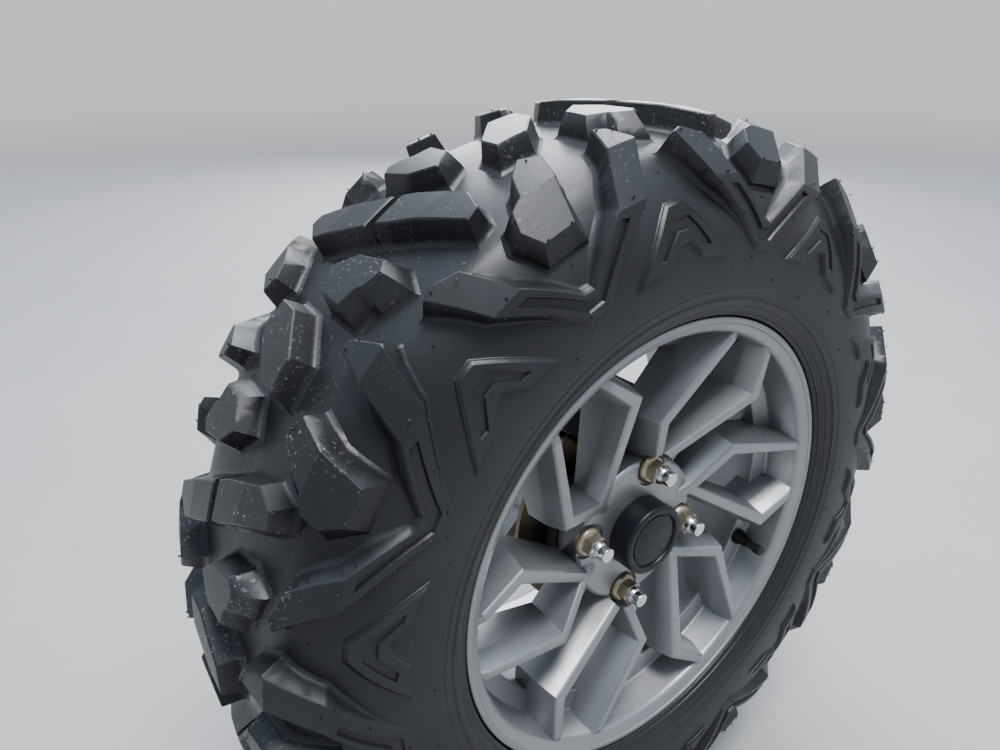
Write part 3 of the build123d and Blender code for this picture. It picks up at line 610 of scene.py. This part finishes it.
def make_tread(material):
    """Lugs of both kinds: those that each side has, and those that lie over the middle."""
    lugs = Lugs()
    both = (
        flat_lug(V_LUG, creases=V_CREASES, grooves=(V_GROOVE,)),
        flat_lug(SHOULDER_LUG, SHOULDER_FOOT, SHOULDER_CREASES),
        flat_lug(CROWN_SIDE, CROWN_SIDE_FOOT, CROWN_SIDE_CREASES),
        flat_lug(
            CHEVRON, grooves=(CHEVRON_GROOVE,), relief=CHEVRON_H,
            groove_depth=CHEVRON_GROOVE_DEPTH,
        ),
    )
    whole = (
        flat_lug(CROWN_LONG, creases=CROWN_LONG_CREASES),
        flat_lug(CROWN_FAR, creases=CROWN_FAR_CREASES),
        flat_lug(CROWN_TIE, creases=CROWN_TIE_CREASES, sunk=CROWN_TIE_SUNK),
        flat_lug(CROWN_MID, creases=CROWN_MID_CREASES),
    )
    for k in range(UNITS):
        for lug in both:
            lugs.bend(lug, k * UNIT, False)
            lugs.bend(lug, (k + 0.5) * UNIT, True)
        for lug in whole:
            lugs.bend(lug, k * UNIT, False)
    lugs.link("tread", material)


def nub(turn, d, s, low, far):
    """One nub as points and faces, from a depth under the shell."""
    high = low + random.uniform(*NUB_LENGTH)
    lean = random.uniform(-NUB_LEAN, NUB_LEAN)
    verts = []
    for height, wide, leant in ((low, NUB_FOOT_R, 0.0), (high, NUB_END_R, lean)):
        for i in range(NUB_SIDES):
            angle = 2 * pi * i / NUB_SIDES
            dd = d + wide * cos(angle) / MM_PER_DEGREE + leant
            ss = s + wide * sin(angle)
            if far:
                dd, ss = -dd, 2 * HALF_ARC - ss
            verts.append(on_tyre(turn + dd, ss, height))
    faces = []
    for i in range(NUB_SIDES):
        j = (i + 1) % NUB_SIDES
        faces.append((i, j, NUB_SIDES + j, NUB_SIDES + i))
    faces.append(tuple(NUB_SIDES + i for i in range(NUB_SIDES)))
    faces.append(tuple(reversed(range(NUB_SIDES))))
    return verts, faces


def make_nubs(material):
    """Small rubber whiskers left by the mould's vents."""
    nubs = []
    for k in range(UNITS):
        for far in (False, True):
            turn = (k + 0.5) * UNIT if far else k * UNIT
            for d, s in NUBS:
                nubs.append(nub(turn, d, s, -NUB_IN_LUG, far))
            for d, s in CASING_NUBS:
                nubs.append(nub(turn, d, s, -casing_depth(s) - NUB_IN_CASING, far))
    link("vent_nubs", joined(nubs), material, "wheel")


# Casing

# Ridges near the rim: arc, height, half width
RIM_RIDGES = (
    (4.0, 0.7, 1.0), (9.0, -0.5, 0.9), (17.0, 1.1, 1.6), (24.0, 0.5, 0.7), (38.0, 0.35, 0.6),
)
# Bead and inside of the tyre, from the outer lip to near the middle. Columns: Y, radius.
BEAD = (
    (-95.0, 191.0), (-90.0, 190.6), (-89.2, 189.0), (-89.0, 178.4), (-86.0, 178.0), (-66.0, 178.0),
    (-68.0, 188.0), (-84.0, 206.0), (-97.0, 224.0), (-98.5, 250.0), (-92.0, 268.0), (-78.0, 284.0),
    (-50.0, 297.0), (-20.0, 301.0),
)
CASING_SIDES = 240
# Steps of arc of the section: short ones over the ridges, longer ones over the rest
RIDGE_STEP = 0.55
RIDGE_STEPS = 48
WALL_FROM = 26.4
WALL_STEP = 3.6
WALL_STEPS = 54


def casing_point(s):
    """(y, radius) on the casing's outer surface."""
    low = s if s < HALF_ARC else 2 * HALF_ARC - s
    height = -casing_depth(s)
    for at, rise, wide in RIM_RIDGES:
        near = abs(low - at) / wide
        if near < 1:
            height += rise * (0.5 + 0.5 * cos(pi * near))
    here, along = shell_at(s)
    return here.x - along.y * height, here.y + along.x * height


def make_casing(material):
    arcs = [RIDGE_STEP * k for k in range(RIDGE_STEPS)]
    arcs += [WALL_FROM + WALL_STEP * k for k in range(1, WALL_STEPS + 1)]
    half = [casing_point(s) for s in arcs]
    outer = half + [casing_point(HALF_ARC)] + [(-y, r) for y, r in reversed(half)]
    inner = [(-y, r) for y, r in BEAD] + [(y, r) for y, r in reversed(BEAD)]
    mesh = lathe_mesh(outer + inner, CASING_SIDES)
    link("tyre_casing", mesh, material, "wheel", ("tyre",), sharp=50)


# Rim barrel

LIP_Y = -96.0
# Section of the barrel. Columns: Y, radius. The first rows are the inner face where the
# spokes meet it.
BARREL_FACE = (
    (LIP_Y, 185.4), (-94.6, 184.8), (-91.5, 178.6), (-88.5, 176.2), (-62.0, 172.8),
    (-58.5, 157.2), (22.0, 157.2),
)
BARREL = BARREL_FACE + (
    (38.0, 172.8), (87.0, 173.8), (96.0, 181.0), (96.0, 190.0), (89.0, 190.0), (89.0, 177.8),
    (40.0, 177.8), (22.0, 162.0), (-53.0, 162.0), (-60.0, 177.8), (-89.0, 177.8), (-89.0, 190.0),
    (LIP_Y, 190.0),
)
BARREL_EDGE = 1.6
BARREL_SIDES = 216


def make_barrel(material):
    mesh = lathe_mesh(rounded(BARREL, BARREL_EDGE), BARREL_SIDES)
    link("rim_barrel", mesh, material, "wheel", ("rim",), sharp=28)


# Spoked centre. Ridge points of the legs: across, up, Y, ridge width, in the wheel's face
# from a pair's middle line.
LEGS = (
    ((-12.0, 45.0, -62.5, 5.0), (-16.0, 59.0, -68.0, 6.0), (-48.5, 93.0, -82.0, 7.0),
     (-24.5, 178.0, -93.0, 4.6)),
    ((-12.0, 45.0, -62.5, 5.0), (-16.0, 59.0, -68.0, 6.0), (40.0, 137.0, -89.0, 8.0),
     (23.5, 178.0, -93.0, 4.8)),
)
SPOKE_PAIRS = 6
SPOKE_FIRST = 2.4
SPOKE_BACK_Y = -44.0
# Section of a leg, out from its ridge's edges and down from its top: the edge's chamfer, the
# crease in its wall, and how far its foot stands out
LEG_EDGE = ((0.0, 0.0), (0.35, 0.1), (1.3, 1.1), (1.6, 1.5))
CREASE_OUT = 5.2
CREASE_DOWN = 17.0
CREASE_SHARE = 0.6
CREASE_EASE = (0.3, 1.0)
FOOT_OUT = 6.6
# Length over which a leg's top drops at its outer end, by how much, and how deep the part of
# its section goes that drops
TIP_SLOPE = 7.0
TIP_DROP = 3.5
TIP_PART = 4.0
# How far a leg's end is let into the barrel's wall
BURY = 2.4


def leg_stations(points):
    """Ridge point, direction, stretch of the section and drop of its top, along a leg."""
    runs = []
    for a, b in zip(points, points[1:]):
        runs.append(Vector((b[0] - a[0], b[1] - a[1])).normalized())
    stations = []
    for i, point in enumerate(points):
        before = runs[max(i - 1, 0)]
        after = runs[min(i, len(runs) - 1)]
        along = (before + after).normalized()
        stations.append((point, along, 1 / along.dot(before), 0.0))
    last, along, stretch, _ = stations.pop()
    earlier = points[-2]
    share = 1 - TIP_SLOPE / hypot(last[0] - earlier[0], last[1] - earlier[1])
    near = tuple(a + (b - a) * share for a, b in zip(earlier, last))
    stations.append((near, along, stretch, 0.0))
    stations.append((last, along, stretch, TIP_DROP))
    return stations


def leg_section(half, depth):
    """Section of a leg, as (across, down) from the middle of its ridge."""
    crease = half + CREASE_OUT
    crease_at = min(CREASE_DOWN, depth * CREASE_SHARE)
    side = [(half + out, down) for out, down in LEG_EDGE]
    side.append((crease, crease_at))
    side.append((crease + CREASE_EASE[0], crease_at + CREASE_EASE[1]))
    side.append((half + FOOT_OUT, depth))
    return [(-u, v) for u, v in reversed(side)] + side


def leg_mesh(points, pair):
    """One leg as verts and faces, its outer end let into the barrel's wall."""
    turn = radians(SPOKE_FIRST + 360 / SPOKE_PAIRS * pair - 90)
    stations = leg_stations(points)
    verts = []
    for n, ((across, up, ridge_y, width), along, stretch, drop) in enumerate(stations):
        section = leg_section(width / 2, SPOKE_BACK_Y - ridge_y)
        cross = Vector((along.y, -along.x))
        for u, v in section:
            at = Vector((across, up)) + cross * u * stretch
            y = ridge_y + v + (drop if v < TIP_PART else 0.0)
            if n == len(stations) - 1:
                reach = between(BARREL_FACE, y) + BURY
                beside = at.dot(along)
                off = (at - along * beside).length
                at += along * (sqrt(max(reach * reach - off * off, 1.0)) - beside)
            x = at.x * cos(turn) - at.y * sin(turn)
            z = at.x * sin(turn) + at.y * cos(turn)
            verts.append(place(x, y, z))
    ring = len(section)
    faces = []
    for n in range(len(stations) - 1):
        for i in range(ring):
            j = (i + 1) % ring
            a = n * ring
            faces.append((a + i, a + j, a + ring + j, a + ring + i))
    faces.append(tuple(reversed(range(ring))))
    faces.append(tuple(range((len(stations) - 1) * ring, len(stations) * ring)))
    return verts, faces


def cylinder(x, z, radius, y0, y1, sides=64):
    """A closed cylinder along Y as verts and faces."""
    verts = []
    for y in (y0, y1):
        for k in range(sides):
            angle = 2 * pi * k / sides
            verts.append(place(x + radius * cos(angle), y, z + radius * sin(angle)))
    faces = [(k, (k + 1) % sides, sides + (k + 1) % sides, sides + k) for k in range(sides)]
    faces.append(tuple(reversed(range(sides))))
    faces.append(tuple(range(sides, 2 * sides)))
    return verts, faces


def cut(mesh, cutter):
    """The mesh less the cutter's volume."""
    blank = bpy.data.objects.new("blank", mesh)
    tool = bpy.data.objects.new("tool", cutter)
    for o in (blank, tool):
        bpy.context.scene.collection.objects.link(o)
    step = blank.modifiers.new("cut", "BOOLEAN")
    step.operation = "DIFFERENCE"
    step.solver = "EXACT"
    step.object = tool
    graph = bpy.context.evaluated_depsgraph_get()
    result = bpy.data.meshes.new_from_object(blank.evaluated_get(graph))
    bpy.data.objects.remove(blank)
    bpy.data.objects.remove(tool)
    return result


STUDS = 4
STUD_CIRCLE_R = 55.0
STUD_FIRST = 78.5
STUD_BORE_R = 6.0
NUT_SEAT_Y = -60.0
POCKET_R = 15.5
HUB_BORE_R = 30.4
HUB = (
    (-63.0, HUB_BORE_R), (-63.0, 61.0), (-60.5, 63.6), (-38.0, 64.0), (-38.0, HUB_BORE_R),
)
HUB_EDGE = 0.5
HUB_SIDES = 144
HUB_BORE_SIDES = 96
STUD_BORE_SIDES = 40
# The bores are cut from here out past the lip
BORE_FROM_Y = -30.0


def stud_places():
    """The studs' places in the wheel's face."""
    for k in range(STUDS):
        angle = radians(STUD_FIRST + 360 / STUDS * k)
        yield STUD_CIRCLE_R * cos(angle), STUD_CIRCLE_R * sin(angle)


def make_spokes(material):
    holes = []
    for x, z in stud_places():
        holes.append(cylinder(x, z, POCKET_R, NUT_SEAT_Y, LIP_Y))
    holes.append(cylinder(0, 0, HUB_BORE_R, BORE_FROM_Y, LIP_Y, HUB_BORE_SIDES))
    cutter = outward(joined(holes))
    bores = outward(joined([
        cylinder(x, z, STUD_BORE_R, BORE_FROM_Y, LIP_Y, STUD_BORE_SIDES) for x, z in stud_places()
    ]))
    work = bmesh.new()
    hub = lathe_mesh(rounded(HUB, HUB_EDGE), HUB_SIDES)
    work.from_mesh(cut(cut(hub, cutter), bores))
    for pair in range(SPOKE_PAIRS):
        for points in LEGS:
            leg = outward(mesh_of(*leg_mesh(points, pair)))
            work.from_mesh(cut(leg, cutter))
    mesh = bpy.data.meshes.new("wheel_centre")
    work.to_mesh(mesh)
    work.free()
    replaced = ("wheel_centre",)
    link("spoked_centre", mesh, material, "wheel", replaced, sharp=24)


# Nuts, cap

NUT_END_Y = -85.7
# The hexagon: where it starts and ends, across its flats, how far its corners are turned off
# and by what slope, and how the nuts stand turned from one to the next
NUT_HEX_Y = -65.0
NUT_HEX_END_Y = -75.0
NUT_AF = 17.0
NUT_CORNERS = 0.96
NUT_SLOPE = 0.55
NUT_TURN_FIRST = 0.3
NUT_TURN_STEP = 0.9
NUT_HEX_SIDES = 96
NUT_BASE_SIDES = 64
NUT_TIP_SIDES = 48
# Round base and end of a nut. Columns: Y, radius.
NUT_BASE = (
    (NUT_SEAT_Y, 5.2), (NUT_SEAT_Y, 12.6), (-61.4, 12.9), (-63.6, 12.6), (-65.4, 11.6),
    (-66.4, 10.2), (-66.6, 5.2),
)
NUT_TIP = (
    (-73.0, 0.0), (-73.0, 8.2), (-75.2, 8.2), (-79.0, 6.5), (-79.4, 6.2), (-84.6, 6.2),
    (-85.3, 5.9), (-85.6, 5.3), (NUT_END_Y, 4.4), (NUT_END_Y, 0.0),
)


def shifted(part, x, z):
    """Verts and faces moved in the wheel's face, by millimetres."""
    verts, faces = part
    return [v + Vector((x * MM, 0, z * MM)) for v in verts], faces


def hexagon_body(turn):
    """A nut's hexagon with its corners turned off by a cone at each end."""
    rows = [[], [], [], []]
    sides = NUT_HEX_SIDES
    face_r = NUT_AF / 2 * NUT_CORNERS
    for k in range(sides):
        angle = 2 * pi * k / sides
        within = (angle % (pi / 3)) - pi / 6
        r = NUT_AF / 2 / cos(within)
        slope = (r - face_r) * NUT_SLOPE
        levels = (NUT_HEX_Y, NUT_HEX_Y - slope, NUT_HEX_END_Y + slope, NUT_HEX_END_Y)
        for row, y, radius in zip(rows, levels, (face_r, r, r, face_r)):
            turned = angle + turn
            row.append(place(radius * cos(turned), y, radius * sin(turned)))
    verts = [v for row in rows for v in row]
    faces = []
    for n in range(3):
        for k in range(sides):
            j = (k + 1) % sides
            faces.append((n * sides + k, n * sides + j, (n + 1) * sides + j, (n + 1) * sides + k))
    faces.append(tuple(reversed(range(sides))))
    faces.append(tuple(range(3 * sides, 4 * sides)))
    return verts, faces


def nut_piece(name, parts, material, replaced=()):
    mesh = outward(joined(parts), weld=True)
    link(name, mesh, material, "wheel", replaced, sharp=30)


def make_nuts(gold, bright):
    for k, (x, z) in enumerate(stud_places()):
        body = [
            shifted(lathe(NUT_BASE, NUT_BASE_SIDES), x, z),
            shifted(hexagon_body(NUT_TURN_FIRST + NUT_TURN_STEP * k), x, z),
        ]
        tip = [shifted(lathe(NUT_TIP, NUT_TIP_SIDES), x, z)]
        nut_piece(f"nut_body_{k + 1}", body, gold, (f"lug_nut_{k + 1}",))
        nut_piece(f"nut_tip_{k + 1}", tip, bright)


CAP = (
    (-82.3, 0.0), (-82.3, 21.4), (-82.1, 21.9), (-81.3, 22.2), (-81.3, 23.6), (-82.2, 24.0),
    (-83.0, 24.4), (-83.4, 25.4), (-83.5, 27.6), (-83.1, 29.4), (-82.0, 30.3), (-80.4, 30.5),
    (-63.0, 30.5), (-63.0, 29.6), (-49.5, 29.4), (-49.0, 29.0), (-49.0, 27.1), (-80.0, 27.1),
    (-80.0, 0.0),
)
CAP_SIDES = 120


def make_cap(material):
    mesh = lathe_mesh(CAP, CAP_SIDES)
    link("hub_cap", mesh, material, "wheel", ("centre_cap",), sharp=40)


# Materials


def map_range(tree, value, low, high, out_low=0.0, out_high=1.0):
    """The value with low..high turned into out_low..out_high, and held at those ends."""
    node = tree.nodes.new("ShaderNodeMapRange")
    ends = (("From Min", low), ("From Max", high), ("To Min", out_low), ("To Max", out_high))
    for key, number in ends:
        node.inputs[key].default_value = number
    tree.links.new(value, node.inputs["Value"])
    return node.outputs["Result"]


class Shader:
    """A material with a principled shader and short calls for its nodes."""

    def __init__(self, name, color, roughness, metallic=0.0, **settings):
        self.material = bpy.data.materials.new(name)
        self.material.use_nodes = True
        self.tree = self.material.node_tree
        self.shader = self.tree.nodes["Principled BSDF"]
        self.shader.inputs["Base Color"].default_value = (*color, 1)
        self.shader.inputs["Roughness"].default_value = roughness
        self.shader.inputs["Metallic"].default_value = metallic
        for key, value in settings.items():
            self.shader.inputs[key.replace("_", " ")].default_value = value
        self.where = self.tree.nodes.new("ShaderNodeTexCoord").outputs["Object"]

    def noise(self, scale, detail=4.0, roughness=0.55):
        node = self.tree.nodes.new("ShaderNodeTexNoise")
        node.inputs["Scale"].default_value = scale
        node.inputs["Detail"].default_value = detail
        node.inputs["Roughness"].default_value = roughness
        self.tree.links.new(self.where, node.inputs["Vector"])
        return node.outputs["Fac"]

    def ramp(self, value, low, high, out_low=0.0, out_high=1.0):
        return map_range(self.tree, value, low, high, out_low, out_high)

    def math(self, operation, a, b=0.0):
        node = self.tree.nodes.new("ShaderNodeMath")
        node.operation = operation
        for socket, value in zip(node.inputs, (a, b)):
            if isinstance(value, (int, float)):
                socket.default_value = value
            else:
                self.tree.links.new(value, socket)
        return node.outputs["Value"]

    def mix(self, share, a, b):
        """The colour a share of the way from a to b, each of them a tuple or a socket."""
        node = self.tree.nodes.new("ShaderNodeMix")
        node.data_type = "RGBA"
        self.tree.links.new(share, node.inputs["Factor"])
        for key, value in (("A", a), ("B", b)):
            socket = [s for s in node.inputs if s.name == key and s.type == "RGBA"][0]
            if isinstance(value, tuple):
                socket.default_value = (*value, 1)
            else:
                self.tree.links.new(value, socket)
        return [s for s in node.outputs if s.type == "RGBA"][0]

    def radius(self):
        """Distance from the spin axis, in metres."""
        split = self.tree.nodes.new("ShaderNodeSeparateXYZ")
        self.tree.links.new(self.where, split.inputs["Vector"])
        x = self.math("MULTIPLY", split.outputs["X"], split.outputs["X"])
        z = self.math("MULTIPLY", split.outputs["Z"], split.outputs["Z"])
        return self.math("SQRT", self.math("ADD", x, z))

    def color(self, socket):
        self.tree.links.new(socket, self.shader.inputs["Base Color"])

    def roughness(self, socket):
        self.tree.links.new(socket, self.shader.inputs["Roughness"])

    def bump(self, height, distance, strength):
        node = self.tree.nodes.new("ShaderNodeBump")
        node.inputs["Distance"].default_value = distance
        node.inputs["Strength"].default_value = strength
        self.tree.links.new(height, node.inputs["Height"])
        self.tree.links.new(node.outputs["Normal"], self.shader.inputs["Normal"])


# Sizes in metres in the materials: the radii between which the dust on the tread grows to
# its full strength, and the depths of the grains. Noise scales are per metre.
DUST_FROM_R = 0.296
DUST_FULL_R = 0.324
RUBBER_GRAIN = 0.00009
ALLOY_GRAIN = 0.00004
FINE_GRAIN = 0.00008
DISC_RINGS = 0.00003
RINGS_PER_M = 9000.0


def tyre_rubber():
    """Black rubber with a thin grey film, and specks of dust on the tread."""
    s = Shader("tyre_rubber", (0.024, 0.025, 0.027), 0.42, Specular_IOR_Level=0.6)
    tone = s.mix(s.noise(9.0, 6.0), (0.018, 0.019, 0.021), (0.028, 0.029, 0.032))
    speck = s.ramp(s.noise(420.0, 3.0, 0.6), 0.60, 0.68)
    cloud = s.ramp(s.noise(26.0, 5.0), 0.44, 0.62)
    crown = s.ramp(s.radius(), DUST_FROM_R, DUST_FULL_R)
    dust = s.math("MULTIPLY", s.math("MULTIPLY", speck, cloud), crown)
    film = s.math("MULTIPLY", s.ramp(s.noise(14.0, 7.0, 0.7), 0.50, 0.8), 0.07)
    tone = s.mix(film, tone, (0.16, 0.155, 0.145))
    tone = s.mix(s.math("MULTIPLY", dust, 0.6), tone, (0.46, 0.44, 0.40))
    s.color(tone)
    s.roughness(s.ramp(s.noise(14.0, 3.0), 0.3, 0.7, 0.36, 0.42))
    s.bump(s.noise(1500.0, 3.0, 0.7), RUBBER_GRAIN, 0.7)
    return s.material


def wheel_alloy():
    """Painted cast alloy with a fine grain."""
    s = Shader("wheel_alloy", (0.37, 0.375, 0.385), 0.38, 0.72)
    s.color(s.mix(s.noise(30.0, 4.0), (0.33, 0.335, 0.345), (0.385, 0.39, 0.40)))
    s.roughness(s.ramp(s.noise(900.0, 2.0), 0.3, 0.7, 0.34, 0.42))
    s.bump(s.noise(2600.0, 2.0), ALLOY_GRAIN, 0.6)
    return s.material


def simple(name, dark, light, rough, metallic, scale, grain):
    """A material with a tone that varies, a little roughness change and a fine grain."""
    s = Shader(name, light, rough, metallic)
    s.color(s.mix(s.ramp(s.noise(scale, 5.0), 0.3, 0.7), dark, light))
    s.roughness(s.ramp(s.noise(scale * 6, 4.0), 0.3, 0.7, rough - 0.07, rough + 0.09))
    s.bump(s.noise(grain, 3.0), FINE_GRAIN, 0.7)
    return s.material


def disc_steel():
    """Brake disc with patches of rust and the rings that the pads leave."""
    s = Shader("disc_steel", (0.42, 0.36, 0.27), 0.4, 0.9)
    rust = s.ramp(s.noise(24.0, 6.0, 0.65), 0.35, 0.7)
    s.color(s.mix(rust, (0.38, 0.33, 0.26), (0.27, 0.18, 0.095)))
    rings = s.math("SINE", s.math("MULTIPLY", s.radius(), RINGS_PER_M))
    s.roughness(s.ramp(s.noise(50.0), 0.3, 0.7, 0.34, 0.5))
    s.bump(rings, DISC_RINGS, 0.5)
    return s.material


# Dark tone, light tone, roughness, metallic, noise scale of the tones and of the grain
SIMPLE = {
    "cap_plastic": ((0.012, 0.0135, 0.018), (0.017, 0.019, 0.025), 0.36, 0.0, 40, 2400),
    "bright_zinc": ((0.62, 0.61, 0.58), (0.80, 0.80, 0.78), 0.2, 1.0, 60, 1200),
    "gold_zinc": ((0.40, 0.34, 0.23), (0.60, 0.55, 0.45), 0.38, 0.9, 70, 1200),
    "hub_steel": ((0.10, 0.10, 0.10), (0.19, 0.19, 0.19), 0.42, 0.9, 40, 900),
    "carrier_alloy": ((0.25, 0.25, 0.26), (0.36, 0.37, 0.38), 0.5, 0.75, 45, 700),
    "caliper_black": ((0.016, 0.016, 0.017), (0.026, 0.026, 0.028), 0.42, 0.3, 50, 1300),
    "pad_compound": ((0.05, 0.046, 0.042), (0.11, 0.10, 0.09), 0.75, 0.2, 160, 900),
    "valve_rubber": ((0.012, 0.012, 0.013), (0.022, 0.022, 0.024), 0.5, 0.0, 90, 1800),
    "race_steel": ((0.42, 0.42, 0.42), (0.56, 0.56, 0.56), 0.24, 1.0, 60, 1500),
}
MATERIALS = {name: simple(name, *row) for name, row in SIMPLE.items()}
MATERIALS["disc_steel"] = disc_steel()
MATERIALS["tyre_rubber"] = tyre_rubber()
MATERIALS["wheel_alloy"] = wheel_alloy()


def dress_frame():
    """Gives each CAD node that still shows the material of its slot."""
    slots = {p["node"]: p["material_slot"] for p in frame["record"]["subparts"]}
    for name, node in frame["nodes"].items():
        node.data.materials.clear()
        node.data.materials.append(MATERIALS[slots[name]])


# Floor and light

HORIZON = (0.60, 0.60, 0.595)
SKY_LOW = (0.62, 0.67, 0.74)
SKY_HIGH = (0.90, 1.06, 1.34)
SUN_SIDE = (0.47, 0.37, 0.80)
# Rise of the direction at which the sky has each of those colours
SKY_RISES = (0.03, 0.30, 0.95)
# How far a direction points towards the bright side where the sky is darkest and brightest,
# the share of its light that the dark side keeps, and the rises between which that sets in
SIDE_DARK = -0.45
SIDE_BRIGHT = 0.36
DARK_SHARE = 0.12
SIDE_RISES = (0.10, 0.28)
# Radius of the floor, and between which distances it fades, in metres
FLOOR_R = 60.0
FLOOR_FADE = (1.5, 9.0)
FLOOR_SIDES = 96
# Name, place, size, power and colour of each lamp. All of them point at the origin.
LAMPS = (
    ("key", (-0.1, -0.8, 2.5), 0.9, 52, (1.0, 0.99, 0.97)),
    ("low_sky", (2.1, 2.8, 1.75), 2.6, 120, (0.93, 0.96, 1.0)),
    ("top", (0.7, 0.6, 2.4), 1.6, 34, (1.0, 0.99, 0.97)),
)


def make_stage():
    """A round pale floor that fades into the horizon's colour far out."""
    verts = []
    for k in range(FLOOR_SIDES):
        angle = 2 * pi * k / FLOOR_SIDES
        verts.append((FLOOR_R * cos(angle), FLOOR_R * sin(angle), FLOOR_Z))
    mesh = mesh_of(verts, [tuple(range(FLOOR_SIDES))])
    floor = bpy.data.objects.new("floor", mesh)
    bpy.context.scene.collection.objects.link(floor)
    pale = Shader("floor_pale", (0.5, 0.5, 0.5), 0.8)
    pale.color(pale.mix(pale.noise(3.0), (0.37, 0.365, 0.355), (0.42, 0.415, 0.40)))
    tree = pale.tree
    length = tree.nodes.new("ShaderNodeVectorMath")
    length.operation = "LENGTH"
    tree.links.new(pale.where, length.inputs[0])
    far = pale.ramp(length.outputs["Value"], *FLOOR_FADE)
    glow = tree.nodes.new("ShaderNodeEmission")
    glow.inputs["Color"].default_value = (*HORIZON, 1)
    blend = tree.nodes.new("ShaderNodeMixShader")
    tree.links.new(far, blend.inputs["Fac"])
    tree.links.new(pale.shader.outputs["BSDF"], blend.inputs[1])
    tree.links.new(glow.outputs["Emission"], blend.inputs[2])
    output = [n for n in tree.nodes if n.type == "OUTPUT_MATERIAL"][0]
    tree.links.new(blend.outputs["Shader"], output.inputs["Surface"])
    mesh.materials.append(pale.material)


def area_light(name, at, size, power, color):
    data = bpy.data.lights.new(name, "AREA")
    data.size = size
    data.energy = power
    data.color = color
    lamp = bpy.data.objects.new(name, data)
    bpy.context.scene.collection.objects.link(lamp)
    aim = (-Vector(at)).to_track_quat("-Z", "Y")
    lamp.matrix_world = Matrix.Translation(Vector(at)) @ aim.to_matrix().to_4x4()


def make_sky():
    """A sky that is even at the horizon, brightens to the zenith and darkens, higher up,
    away from its bright side."""
    world = bpy.data.worlds.new("world")
    bpy.context.scene.world = world
    world.use_nodes = True
    tree = world.node_tree
    where = tree.nodes.new("ShaderNodeTexCoord").outputs["Generated"]
    split = tree.nodes.new("ShaderNodeSeparateXYZ")
    tree.links.new(where, split.inputs["Vector"])
    rise = tree.nodes.new("ShaderNodeValToRGB")
    ramp = rise.color_ramp.elements
    ramp[0].position, _, ramp[1].position = SKY_RISES
    ramp[0].color = (*HORIZON, 1)
    ramp[1].color = (*SKY_HIGH, 1)
    ramp.new(SKY_RISES[1]).color = (*SKY_LOW, 1)
    tree.links.new(split.outputs["Z"], rise.inputs["Fac"])
    side = tree.nodes.new("ShaderNodeVectorMath")
    side.operation = "DOT_PRODUCT"
    side.inputs[1].default_value = SUN_SIDE
    tree.links.new(where, side.inputs[0])
    shade = map_range(tree, side.outputs["Value"], SIDE_DARK, SIDE_BRIGHT, DARK_SHARE, 1.0)
    strength = tree.nodes.new("ShaderNodeMix")
    strength.inputs["A"].default_value = 1.0
    tree.links.new(map_range(tree, split.outputs["Z"], *SIDE_RISES), strength.inputs["Factor"])
    tree.links.new(shade, strength.inputs["B"])
    back = tree.nodes["Background"]
    tree.links.new(rise.outputs["Color"], back.inputs["Color"])
    tree.links.new(strength.outputs["Result"], back.inputs["Strength"])


def make_light():
    make_sky()
    for lamp in LAMPS:
        area_light(*lamp)
    bpy.context.scene.view_settings.look = "AgX - Medium High Contrast"


make_camera()
dress_frame()
rubber = MATERIALS["tyre_rubber"]
make_casing(rubber)
make_tread(rubber)
make_nubs(rubber)
make_barrel(MATERIALS["wheel_alloy"])
make_spokes(MATERIALS["wheel_alloy"])
make_nuts(MATERIALS["gold_zinc"], MATERIALS["bright_zinc"])
make_cap(MATERIALS["cap_plastic"])
make_stage()
make_light()
